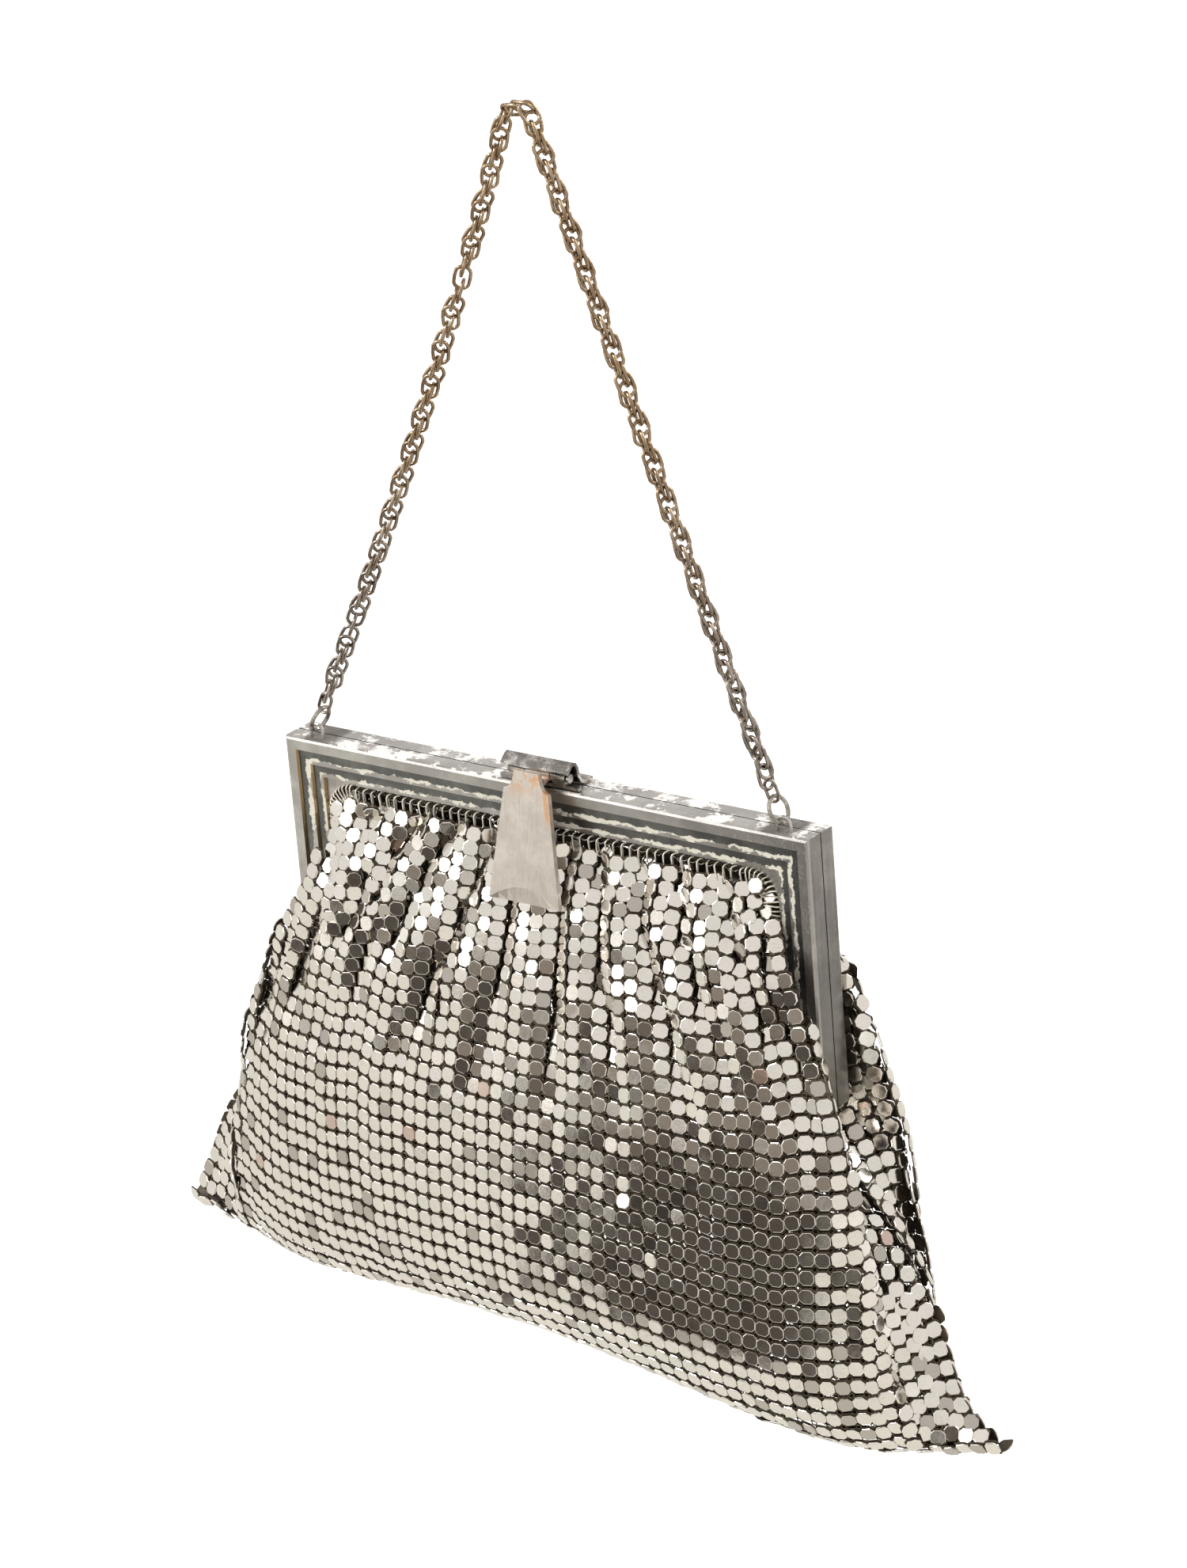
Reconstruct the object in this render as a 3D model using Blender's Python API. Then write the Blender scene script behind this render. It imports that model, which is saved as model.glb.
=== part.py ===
"""Evening purse of linked metal plates on a hinged metal frame, held up by its chain.

Metres, +Z up, +X along the frame, -Y to the front. The origin is the point that the
chain hangs from. Every other piece is laid out from the middle of the frame's top edge,
on the seam plane y = 0 between the two halves, and carried there by one empty.
"""

import math

import bmesh
import bpy
from mathutils import Matrix, Vector

# Clearances between pieces that touch on the real purse
CLEARANCE = 0.0003

# Chain: the rise of its top above the frame and how far it leans back
CHAIN_RISE = 0.1461
CHAIN_LEAN = 0.0076
CHAIN_RADIUS = 0.0015
CHAIN_TOP_BEND = 0.0032
CHAIN_BOW_LEFT = 0.0022
CHAIN_BOW_RIGHT = 0.0004
CHAIN_POINTS = 72

# Frame: two halves of stepped sheet, hinged at the feet of their arms
FRAME_LENGTH = 0.140
ARM_DROP = 0.063
HALF_DEPTH = 0.00484
SHEET = 0.0008
EDGE_ROUND = 0.0007
FIRST_STEP = 0.00285
SECOND_STEP = 0.00608
THIRD_STEP = 0.00891
STEP_DEPTH = 0.0007
STEP_RISER = 0.0003
OPENING_LIP = 0.0006
OPENING_CORNER = 0.0070
CORNER_SEGMENTS = 6

# Hinge link inside the arms' feet
HINGE_RISE = 0.0035
HINGE_LINK_HEIGHT = 0.0050
HINGE_LINK_WIDTH = 0.0009
HINGE_RIVET_RADIUS = 0.0008

# Wire rail that the mesh hangs from, one in each half
RAIL_RADIUS = 0.0005
RAIL_FOOT = 0.0280

# Lugs soldered on the front half, and the rings and links on them
LUG_INSET = 0.0075
LUG_RADIUS = 0.0017
LUG_WIRE = 0.00045
LUG_LEG = 0.0014
RING_RADIUS = 0.00295
RING_WIRE = 0.0005
LINK_LENGTH = 0.0056
LINK_WIDTH = 0.0036
LINK_WIRE = 0.0004

# Clasp: a hinge barrel on the front half, a hood on the back half, a tab on the barrel
BARREL_FORWARD = 0.0034
BARREL_HEIGHT = 0.0026
BARREL_RADIUS = 0.00125
PIN_RADIUS = 0.0005
PIN_HEAD = 0.0005
TAB_KNUCKLE = 0.0064
SIDE_KNUCKLE = 0.0038
BASE_LENGTH = 0.0215
BASE_THICKNESS = 0.0007
HOOD_LENGTH = 0.0178
HOOD_SHEET = 0.0007
HOOD_TOP = 0.0059
HOOD_FOOT = 0.0034
HOOD_FRONT = 0.0055
HOOD_REAR = 0.0014
TAB_LENGTH = 0.0292
TAB_TOP = 0.0043
TAB_FORWARD = 0.0071
TAB_TILT = math.radians(9.0)
TAB_THICKNESS = 0.0012
TAB_NECK_WIDTH = 0.0066
TAB_SHOULDER_WIDTH = 0.0118
TAB_SHOULDER_DROP = 0.0042
TAB_FOOT_WIDTH = 0.0188
TAB_FACET = 0.0036
TAB_EDGE = 0.0007
TONGUE_THICKNESS = 0.00075
TONGUE_FALL = 0.0010

# The hood's bent sheet, from its foot over the barrel to its lip. depth is a share of the
# way from HOOD_REAR to HOOD_FRONT, rise a share of the way up to HOOD_TOP.
HOOD_COLUMNS = ("depth", "rise")
HOOD_BENDS = (
    (-0.49, 0.00),
    (-0.22, 0.10),
    (0.00, 0.38),
    (0.07, 0.73),
    (0.22, 0.94),
    (0.41, 1.00),
    (0.61, 0.94),
    (1.00, 0.68),
)

# Mesh pouch: a thin shell hung on the rails
POUCH_DROP = 0.1342
POUCH_HALF_WIDTH = 0.1170
POUCH_FRONT = 0.0250
POUCH_BACK = 0.0190
POUCH_WALL = 0.0010
POUCH_TWIST = math.radians(2.0)
GATHER_DEPTH = 0.0020
GATHERS = 8.5
PLEAT_DEPTH = 0.0050
EAR_LIFT_LEFT = 0.0010
EAR_LIFT_RIGHT = 0.0125
POUCH_SLANT = math.radians(3.2)
POUCH_ARCH = 0.0070
ARCH_SHARE = 0.75
PANEL_SEGMENTS = 44
GUSSET_SEGMENTS = 5
MOUTH_OUTSET = 0.0009

# Rows of the pouch, top to bottom. drop runs from 0 at the mouth to 1 at the frame's feet
# and 2 at the bottom fold. edge, side_left, side_right and back_edge run from 0 at the
# mouth's ends to 1 at the ear tips: where the front panel folds, where the two gussets
# stand between the panels and where the back panel folds. The depths run from 0 at the
# mouth to 1 at POUCH_FRONT or POUCH_BACK. wrap is 1 where a fold passes round a frame arm,
# and its depths then start at the arm's face. pleat is a share of PLEAT_DEPTH, lift of the
# ear lifts and gather of GATHER_DEPTH.
POUCH_COLUMNS = (
    "drop", "edge", "edge_depth", "front", "side_left", "side_right", "back_edge",
    "back_edge_depth", "back", "wrap", "pleat", "lift", "gather",
)
POUCH_ROWS = (
    (0.00, 0.00, 0.00, 0.00, 0.00, 0.00, 0.00, 0.00, 0.00, 0.0, 0.0, 0.0, 0.0),
    (0.05, 0.00, 0.00, 0.03, 0.00, 0.00, 0.00, 0.00, 0.03, 0.0, 0.0, 0.0, 0.5),
    (0.12, 0.00, 0.00, 0.10, 0.00, 0.00, 0.00, 0.00, 0.12, 0.0, 0.0, 0.0, 0.9),
    (0.26, 0.06, 0.09, 0.16, 0.00, 0.00, 0.05, 0.12, 0.19, 1.0, 0.0, 0.0, 1.0),
    (0.45, 0.16, 0.18, 0.33, 0.00, 0.00, 0.18, 0.21, 0.39, 1.0, 0.0, 0.0, 0.9),
    (0.69, 0.26, 0.24, 0.54, 0.00, 0.00, 0.27, 0.24, 0.60, 1.0, 0.0, 0.0, 0.7),
    (1.00, 0.37, 0.34, 0.75, 0.00, 0.00, 0.36, 0.29, 0.77, 1.0, 0.0, 0.0, 0.4),
    (1.10, 0.43, 0.45, 0.86, 0.16, 0.16, 0.39, 0.39, 0.87, 0.3, 0.1, 0.0, 0.2),
    (1.27, 0.47, 0.54, 0.94, 0.42, 0.37, 0.41, 0.47, 0.96, 0.0, 0.4, 0.0, 0.1),
    (1.46, 0.51, 0.58, 0.99, 0.66, 0.55, 0.44, 0.52, 1.00, 0.0, 0.7, 0.0, 0.0),
    (1.64, 0.56, 0.58, 1.00, 0.81, 0.66, 0.45, 0.52, 0.98, 0.0, 0.8, 0.0, 0.0),
    (1.78, 0.59, 0.54, 0.95, 0.88, 0.71, 0.45, 0.41, 0.83, 0.0, 0.7, 0.1, 0.0),
    (1.88, 0.60, 0.47, 0.86, 0.94, 0.80, 0.45, 0.21, 0.55, 0.0, 0.5, 0.3, 0.0),
    (1.95, 0.59, 0.40, 0.72, 0.98, 0.91, 0.44, -0.01, 0.17, 0.0, 0.2, 0.6, 0.0),
    (1.99, 0.54, 0.34, 0.54, 1.00, 0.98, 0.42, -0.24, -0.30, 0.0, 0.0, 0.9, 0.0),
    (2.00, 0.47, 0.27, 0.42, 1.00, 1.00, 0.40, -0.41, -0.49, 0.0, 0.0, 1.0, 0.0),
)

# Sizes that follow from those above
OPENING_INSET = THIRD_STEP + STEP_RISER + OPENING_LIP
LIP_DEPTH = HALF_DEPTH - 3 * STEP_DEPTH
RAIL_INSET = OPENING_INSET + CLEARANCE + RAIL_RADIUS
RAIL_DEPTH = LIP_DEPTH - SHEET / 2
MOUTH_DEPTH = RAIL_DEPTH + MOUTH_OUTSET
MOUTH_INSET = RAIL_INSET + RAIL_RADIUS + CLEARANCE
MOUTH_HALF = FRAME_LENGTH / 2 - MOUTH_INSET
LUG_PLACE = FRAME_LENGTH / 2 - LUG_INSET
ARM_PASS = ARM_DROP + CLEARANCE
ARM_FACE = HALF_DEPTH + 2 * CLEARANCE
FRAME_TOP = Vector((0, -CHAIN_LEAN, -CHAIN_RISE))
LUG_DEPTH = HALF_DEPTH / 2
LUG_EYE = LUG_LEG + LUG_RADIUS - LUG_WIRE - CLEARANCE - RING_WIRE
BARREL = Vector((0, -BARREL_FORWARD, BARREL_HEIGHT))


def material(name, color, roughness, metallic=1.0):
    made = bpy.data.materials.new(name)
    made.use_nodes = True
    shader = made.node_tree.nodes["Principled BSDF"]
    shader.inputs["Base Color"].default_value = (*color, 1.0)
    shader.inputs["Roughness"].default_value = roughness
    shader.inputs["Metallic"].default_value = metallic
    return made


def add_object(name, data, finish, parent):
    data.materials.append(finish)
    made = bpy.data.objects.new(name, data)
    bpy.context.scene.collection.objects.link(made)
    made.parent = parent
    return made


def mesh_object(name, bm, finish, parent, smooth_angle=35):
    bmesh.ops.remove_doubles(bm, verts=bm.verts, dist=1e-6)
    bmesh.ops.recalc_face_normals(bm, faces=bm.faces)
    mesh = bpy.data.meshes.new(name)
    bm.to_mesh(mesh)
    bm.free()
    mesh.shade_smooth()
    mesh.set_sharp_from_angle(angle=math.radians(smooth_angle))
    return add_object(name, mesh, finish, parent)


def hide_guide(guide):
    guide.hide_render = True
    guide.display_type = "WIRE"


def boolean(target, tool, operation):
    hide_guide(tool)
    modifier = target.modifiers.new(tool.name, "BOOLEAN")
    modifier.operation = operation
    modifier.object = tool


def wire_object(name, points, radius, finish, parent, closed=False, resolution=2):
    curve = bpy.data.curves.new(name, "CURVE")
    curve.dimensions = "3D"
    curve.bevel_depth = radius
    curve.bevel_resolution = resolution
    curve.use_fill_caps = not closed
    spline = curve.splines.new("POLY")
    spline.points.add(len(points) - 1)
    for slot, point in zip(spline.points, points):
        slot.co = (*point, 1.0)
    spline.use_cyclic_u = closed
    return add_object(name, curve, finish, parent)


def bar(bm, outline, across, half_length):
    """A prism: outline points (y, z), run along X from -half_length to half_length."""
    start = [bm.verts.new((across - half_length, y, z)) for y, z in outline]
    face = bm.faces.new(start)
    grown = bmesh.ops.extrude_face_region(bm, geom=[face])["geom"]
    moved = [item for item in grown if isinstance(item, bmesh.types.BMVert)]
    bmesh.ops.translate(bm, verts=moved, vec=(2 * half_length, 0, 0))


def rod_along_x(bm, radius, length, centre, segments=14):
    turn = Matrix.Translation(centre) @ Matrix.Rotation(math.pi / 2, 4, "Y")
    bmesh.ops.create_cone(
        bm, cap_ends=True, segments=segments, radius1=radius, radius2=radius,
        depth=length, matrix=turn,
    )


def arch_path(inset, radius, foot):
    """Points (x, z) of the frame's inverted U at an inset from its outer edge."""
    half = FRAME_LENGTH / 2 - inset
    points = [(-half, -foot)]
    for side in (-1, 1):
        for step in range(CORNER_SEGMENTS + 1):
            turn = math.pi / 2 * step / CORNER_SEGMENTS
            angle = turn if side < 0 else math.pi / 2 - turn
            x = side * (half - radius + radius * math.cos(angle))
            z = -inset - radius + radius * math.sin(angle)
            points.append((x, z))
    points.append((half, -foot))
    return points


def frame_profile():
    """The sheet's section as (inset, depth, corner radius), skin first, then inside."""
    levels = [HALF_DEPTH - step * STEP_DEPTH for step in range(4)]
    steps = (FIRST_STEP, SECOND_STEP, THIRD_STEP)
    seam = CLEARANCE / 2
    diagonal = EDGE_ROUND * (1 - math.sqrt(0.5))
    skin = [
        (0, seam, 0),
        (0, HALF_DEPTH - EDGE_ROUND, 0),
        (diagonal, HALF_DEPTH - diagonal, 0),
        (EDGE_ROUND, HALF_DEPTH, 0),
    ]
    for index, step in enumerate(steps):
        skin.append((step, levels[index], 0))
        skin.append((step + STEP_RISER, levels[index + 1], 0))
    skin.append((OPENING_INSET, LIP_DEPTH, OPENING_CORNER))
    inside = [(OPENING_INSET, LIP_DEPTH - SHEET, OPENING_CORNER)]
    for index, step in reversed(list(enumerate(steps))):
        inside.append((step + STEP_RISER - SHEET, levels[index + 1] - SHEET, 0))
        inside.append((step - SHEET, levels[index] - SHEET, 0))
    inside.append((SHEET, HALF_DEPTH - SHEET, 0))
    inside.append((SHEET, seam, 0))
    return skin + inside


def frame_half(name, side, finish, parent):
    """Sweeps the stepped section round the inverted U, with mitred outer corners."""
    bm = bmesh.new()
    rows = []
    for inset, depth, radius in frame_profile():
        path = arch_path(inset, radius, ARM_DROP)
        rows.append([bm.verts.new((x, side * depth, z)) for x, z in path])
    for row, after in zip(rows, rows[1:] + rows[:1]):
        for index in range(len(row) - 1):
            bm.faces.new((row[index], row[index + 1], after[index + 1], after[index]))
    bm.faces.new([row[0] for row in rows])
    bm.faces.new([row[-1] for row in rows])
    return mesh_object(name, bm, finish, parent, smooth_angle=30)


def add_lug(frame, side, finish, parent):
    """A wire staple soldered on the front half's top, its legs sunk in the sheet."""
    x = side * LUG_PLACE
    points = [(x - LUG_RADIUS, -LUG_DEPTH, -SHEET / 2)]
    for step in range(9):
        angle = math.pi * (1 - step / 8)
        points.append((
            x + LUG_RADIUS * math.cos(angle),
            -LUG_DEPTH,
            LUG_LEG + LUG_RADIUS * math.sin(angle),
        ))
    points.append((x + LUG_RADIUS, -LUG_DEPTH, -SHEET / 2))
    bm = bmesh.new()
    sides = 8
    previous = None
    for index, point in enumerate(points):
        before = Vector(points[max(index - 1, 0)])
        after = Vector(points[min(index + 1, len(points) - 1)])
        along = (after - before).normalized()
        across = Vector((0, 1, 0))
        up = along.cross(across)
        ring = []
        for corner in range(sides):
            angle = 2 * math.pi * (corner + 0.5) / sides
            offset = LUG_WIRE * (math.cos(angle) * across + math.sin(angle) * up)
            ring.append(bm.verts.new(Vector(point) + offset))
        if previous:
            for corner in range(sides):
                turn = (corner + 1) % sides
                bm.faces.new((previous[corner], previous[turn], ring[turn], ring[corner]))
        else:
            bm.faces.new(ring)
        previous = ring
    bm.faces.new(previous)
    name = "lug_guide_left" if side < 0 else "lug_guide_right"
    guide = mesh_object(name, bm, finish, parent)
    boolean(frame, guide, "UNION")


def hinge_link(name, side, finish, parent):
    """Plain link and rivet hidden in the arms' feet, where the halves turn."""
    x = side * (FRAME_LENGTH / 2 - SHEET - CLEARANCE - HINGE_LINK_WIDTH / 2)
    z = -ARM_DROP + HINGE_RISE
    reach = HALF_DEPTH - SHEET - CLEARANCE - EDGE_ROUND
    half = HINGE_LINK_HEIGHT / 2
    outline = []
    for centre, start in ((reach - half, -90), (half - reach, 90)):
        for step in range(7):
            angle = math.radians(start + 180 * step / 6)
            outline.append((centre + half * math.cos(angle), z + half * math.sin(angle)))
    bm = bmesh.new()
    bar(bm, outline, x, HINGE_LINK_WIDTH / 2)
    link = mesh_object(name, bm, finish, parent)
    inner = FRAME_LENGTH / 2 - THIRD_STEP
    length = abs(x) - inner
    bm = bmesh.new()
    rod_along_x(bm, HINGE_RIVET_RADIUS, length, (side * (inner + length / 2), 0, z), 10)
    rivet = mesh_object(name + "_rivet_guide", bm, finish, parent)
    boolean(link, rivet, "UNION")
    return link


def rail(name, side, finish, parent):
    inner_corner = OPENING_CORNER - CLEARANCE - RAIL_RADIUS
    path = arch_path(RAIL_INSET, inner_corner, RAIL_FOOT)
    points = [(x, side * RAIL_DEPTH, z) for x, z in path]
    return wire_object(name, points, RAIL_RADIUS, finish, parent, resolution=1)


def lug_eye(side):
    return Vector((side * LUG_PLACE, -LUG_DEPTH, LUG_EYE))


def chain_direction(side):
    """From a lug's eye to the top of the chain, in the frame's own layout."""
    return (-FRAME_TOP - lug_eye(side)).normalized()


def ring_axes(side):
    """Pull, breadth and normal of a jump ring that stands square to its lug."""
    pull = chain_direction(side)
    normal = Vector((pull.z, 0, -pull.x)).normalized()
    breadth = normal.cross(pull).normalized()
    return pull, breadth, normal


def jump_ring(name, side, finish, parent):
    pull, breadth, _ = ring_axes(side)
    centre = lug_eye(side) + RING_RADIUS * pull
    points = []
    for step in range(20):
        angle = 2 * math.pi * step / 20
        around = math.cos(angle) * pull + math.sin(angle) * breadth
        points.append(centre + RING_RADIUS * around)
    return wire_object(name, points, RING_WIRE, finish, parent, closed=True, resolution=1)


def end_link_centre(side):
    """The link's lower bow hangs in the jump ring's upper bow."""
    pull, _, _ = ring_axes(side)
    top_of_ring = lug_eye(side) + 2 * RING_RADIUS * pull
    seat = RING_WIRE + LINK_WIRE + CLEARANCE
    return top_of_ring + (LINK_LENGTH / 2 - LINK_WIRE - seat) * pull


def end_link(name, side, finish, parent):
    pull, _, normal = ring_axes(side)
    centre = end_link_centre(side)
    bow = LINK_WIDTH / 2 - LINK_WIRE
    straight = LINK_LENGTH / 2 - LINK_WIRE - bow
    points = []
    for end in (1, -1):
        for step in range(9):
            angle = math.pi * step / 8
            along = end * (straight + bow * math.sin(angle))
            out = end * bow * math.cos(angle)
            points.append(centre + along * pull + out * normal)
    return wire_object(name, points, LINK_WIRE, finish, parent, closed=True, resolution=1)


def chain(name, finish, parent):
    """One plain cord of the chain's own thickness, from end link to end link."""
    starts = []
    for side in (-1, 1):
        pull, _, _ = ring_axes(side)
        reach = LINK_LENGTH / 2 + CLEARANCE + CHAIN_RADIUS * 0.1
        starts.append(end_link_centre(side) + reach * pull)
    top = -FRAME_TOP
    shares = (0.0, 0.25, 0.5, 0.75, 0.93, 1.0)
    runs = []
    for side, bow, start in zip((-1, 1), (CHAIN_BOW_LEFT, CHAIN_BOW_RIGHT), starts):
        shoulder = top + Vector((side * CHAIN_TOP_BEND, 0, -0.45 * CHAIN_TOP_BEND))
        run = []
        for share in shares:
            inward = -side * bow * 4 * share * (1 - share)
            run.append(start.lerp(shoulder, share) + Vector((inward, 0, 0)))
        runs.append(run)
    route = runs[0] + [top] + runs[1][::-1]
    return wire_object(name, smooth_route(route, CHAIN_POINTS), CHAIN_RADIUS, finish, parent)


def catmull(before, start, end, after, share):
    """Centripetal Catmull-Rom between start and end."""
    knots = [0.0]
    for a, b in ((before, start), (start, end), (end, after)):
        knots.append(knots[-1] + max((b - a).length, 1e-9) ** 0.5)
    t = knots[1] + share * (knots[2] - knots[1])

    def mix(a, b, low, high):
        return a * ((high - t) / (high - low)) + b * ((t - low) / (high - low))

    first = mix(before, start, knots[0], knots[1])
    second = mix(start, end, knots[1], knots[2])
    third = mix(end, after, knots[2], knots[3])
    left = mix(first, second, knots[0], knots[2])
    right = mix(second, third, knots[1], knots[3])
    return mix(left, right, knots[1], knots[2])


def smooth_route(route, count):
    """Evenly spaced points on one smooth curve through the route's own points."""
    ends = [2 * route[0] - route[1]] + route + [2 * route[-1] - route[-2]]
    fine = [route[0]]
    for index in range(1, len(ends) - 2):
        for step in range(1, 41):
            fine.append(catmull(*ends[index - 1:index + 3], step / 40))
    lengths = [0.0]
    for start, end in zip(fine, fine[1:]):
        lengths.append(lengths[-1] + (end - start).length)
    points = []
    index = 0
    for step in range(count):
        wanted = lengths[-1] * step / (count - 1)
        while index < len(fine) - 2 and lengths[index + 1] < wanted:
            index += 1
        share = (wanted - lengths[index]) / (lengths[index + 1] - lengths[index])
        points.append(fine[index].lerp(fine[index + 1], min(share, 1.0)))
    return points


def tube_along_x(name, length, centre, finish, parent):
    """A knuckle: a round bar with the pin's bore cut through it."""
    bm = bmesh.new()
    rod_along_x(bm, BARREL_RADIUS, length, centre)
    return mesh_object(name, bm, finish, parent)


def cut_bore(target, name, centre, finish, parent):
    bm = bmesh.new()
    rod_along_x(bm, PIN_RADIUS + CLEARANCE, BASE_LENGTH, centre, 10)
    boolean(target, mesh_object(name, bm, finish, parent), "DIFFERENCE")


def clasp_base(name, finish, parent):
    """Round-ended plate on the front half, with a knuckle at each side of the tab's."""
    seat = CLEARANCE
    front = HALF_DEPTH - EDGE_ROUND
    back = 2 * BARREL_FORWARD - front
    radius = (front - back) / 2
    half = BASE_LENGTH / 2 - radius
    bm = bmesh.new()
    rim = []
    for centre, start in ((half, -90), (-half, 90)):
        for step in range(7):
            angle = math.radians(start + 180 * step / 6)
            x = centre + radius * math.cos(angle)
            y = -(front + back) / 2 + radius * math.sin(angle)
            rim.append(bm.verts.new((x, y, seat)))
    plate = bm.faces.new(rim)
    grown = bmesh.ops.extrude_face_region(bm, geom=[plate])["geom"]
    moved = [item for item in grown if isinstance(item, bmesh.types.BMVert)]
    bmesh.ops.translate(bm, verts=moved, vec=(0, 0, BASE_THICKNESS))
    base = mesh_object(name, bm, finish, parent)
    offset = TAB_KNUCKLE / 2 + CLEARANCE + SIDE_KNUCKLE / 2
    for side, label in ((-1, "left"), (1, "right")):
        centre = BARREL + Vector((side * offset, 0, 0))
        knuckle = tube_along_x(f"knuckle_guide_{label}", SIDE_KNUCKLE, centre, finish, parent)
        bm = bmesh.new()
        web = BARREL_RADIUS * 0.7
        low = seat + BASE_THICKNESS / 2
        outline = (
            (BARREL.y - web, low), (BARREL.y + web, low),
            (BARREL.y + web, BARREL.z), (BARREL.y - web, BARREL.z),
        )
        bar(bm, outline, side * offset, SIDE_KNUCKLE / 2 - CLEARANCE)
        web_guide = mesh_object(f"web_guide_{label}", bm, finish, parent)
        boolean(base, web_guide, "UNION")
        boolean(base, knuckle, "UNION")
    cut_bore(base, "base_bore_guide", BARREL, finish, parent)
    return base


def clasp_pin(name, finish, parent):
    half = TAB_KNUCKLE / 2 + CLEARANCE + SIDE_KNUCKLE + CLEARANCE
    bm = bmesh.new()
    profile = (
        (-half - PIN_HEAD, 0), (-half - PIN_HEAD, BARREL_RADIUS * 0.8),
        (-half, BARREL_RADIUS * 0.8), (-half, PIN_RADIUS),
        (half, PIN_RADIUS), (half, BARREL_RADIUS * 0.8),
        (half + PIN_HEAD, BARREL_RADIUS * 0.8), (half + PIN_HEAD, 0),
    )
    verts = [bm.verts.new((x, BARREL.y, BARREL.z + r)) for x, r in profile]
    edges = [bm.edges.new(pair) for pair in zip(verts, verts[1:])]
    bmesh.ops.spin(
        bm, geom=verts + edges, cent=BARREL, axis=(1, 0, 0), angle=2 * math.pi,
        steps=12, use_merge=True,
    )
    return mesh_object(name, bm, finish, parent)


def sheet_outline(route, thickness):
    """The closed outline of a bent sheet whose middle runs through route, as (y, z)."""
    left = []
    right = []
    for index, point in enumerate(route):
        before = Vector(route[max(index - 1, 0)])
        after = Vector(route[min(index + 1, len(route) - 1)])
        here = Vector(point)
        first = (here - before).normalized() if index else (after - here).normalized()
        second = (after - here).normalized() if index < len(route) - 1 else first
        along = (first + second).normalized()
        normal = Vector((-along.y, along.x))
        stretch = 1 / max(normal.dot(Vector((-first.y, first.x))), 0.5)
        left.append(here + normal * stretch * thickness / 2)
        right.append(here - normal * stretch * thickness / 2)
    return [tuple(point) for point in left + right[::-1]]


def clasp_hood(name, finish, parent):
    """Bent sheet riveted on the back half, its lip over the front half's barrel."""
    low = CLEARANCE + HOOD_SHEET / 2
    route = [(HOOD_FOOT, low)]
    for values in HOOD_BENDS:
        bend = dict(zip(HOOD_COLUMNS, values))
        forward = HOOD_REAR + bend["depth"] * (HOOD_FRONT - HOOD_REAR)
        route.append((-forward, low + bend["rise"] * (HOOD_TOP - low)))
    bm = bmesh.new()
    bar(bm, sheet_outline(route, HOOD_SHEET), 0, HOOD_LENGTH / 2)
    return mesh_object(name, bm, finish, parent, smooth_angle=40)


def tab_width(drop):
    """Half the tab's width at a drop below its top edge."""
    neck = TAB_NECK_WIDTH / 2
    shoulder = TAB_SHOULDER_WIDTH / 2
    if drop <= TAB_SHOULDER_DROP:
        share = drop / TAB_SHOULDER_DROP
        return neck + (shoulder - neck) * (1 - math.sqrt(max(1 - share ** 2, 0.0)))
    share = (drop - TAB_SHOULDER_DROP) / (TAB_LENGTH - TAB_SHOULDER_DROP)
    return shoulder + (TAB_FOOT_WIDTH / 2 - shoulder) * share


def clasp_tab(name, finish, parent):
    """Splayed lifting tab with a crescent facet at its foot and its own knuckle.

    Laid out from the barrel's axis, where its parent stands.
    """
    bm = bmesh.new()
    drops = [TAB_SHOULDER_DROP * share for share in (0, 0.25, 0.5, 0.7, 0.85, 0.95, 1.0)]
    columns = 8
    rows = []
    for drop in drops:
        half = tab_width(drop)
        rows.append([
            (half * (2 * index / columns - 1), drop, TAB_THICKNESS)
            for index in range(columns + 1)
        ])
    arc = []
    foot = []
    for index in range(columns + 1):
        share = 2 * index / columns - 1
        drop = TAB_LENGTH - TAB_FACET * (1 - share ** 2)
        arc.append((tab_width(drop) * share, drop, TAB_THICKNESS))
        thin = TAB_EDGE if abs(share) < 1 else TAB_THICKNESS
        foot.append((tab_width(TAB_LENGTH) * share, TAB_LENGTH, thin))
    rows.append(arc)
    rows.append(foot)

    lean = Matrix.Rotation(-TAB_TILT, 3, "X")
    top = Vector((0, -TAB_FORWARD, TAB_TOP)) - BARREL
    front = []
    back = []
    for row in rows:
        front.append([bm.verts.new(top + lean @ Vector((x, -t, -d))) for x, d, t in row])
        back.append([bm.verts.new(top + lean @ Vector((x, 0, -d))) for x, d, _ in row])
    for skin in (front, back):
        for row, after in zip(skin, skin[1:]):
            for index in range(columns):
                corners = (row[index], row[index + 1], after[index + 1], after[index])
                unique = list(dict.fromkeys(corners))
                bm.faces.new(unique)
    loops = []
    for skin in (front, back):
        loop = list(skin[0])
        loop += [row[-1] for row in skin[1:]]
        loop += skin[-1][-2::-1]
        loop += [row[0] for row in skin[-2:0:-1]]
        loops.append(loop)
    for index in range(len(loops[0])):
        turn = (index + 1) % len(loops[0])
        bm.faces.new((loops[0][index], loops[0][turn], loops[1][turn], loops[1][index]))
    tab = mesh_object(name, bm, finish, parent, smooth_angle=10)

    axis = Vector((0, 0, 0))
    knuckle = tube_along_x("tab_knuckle_guide", TAB_KNUCKLE, axis, finish, parent)
    bm = bmesh.new()
    reach = TAB_FORWARD + TAB_THICKNESS / 2 - BARREL_FORWARD
    near = BARREL_RADIUS * 0.7
    low = -BARREL_RADIUS * 0.8
    high = low + TONGUE_THICKNESS
    near_end = (-near, low), (-near, high)
    outline = ((-reach, low - TONGUE_FALL), *near_end, (-reach, high - TONGUE_FALL))
    bar(bm, outline, 0, TAB_KNUCKLE / 2 - CLEARANCE)
    tongue = mesh_object("tab_tongue_guide", bm, finish, parent)
    boolean(tab, tongue, "UNION")
    boolean(tab, knuckle, "UNION")
    cut_bore(tab, "tab_bore_guide", axis, finish, parent)
    return tab


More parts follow.
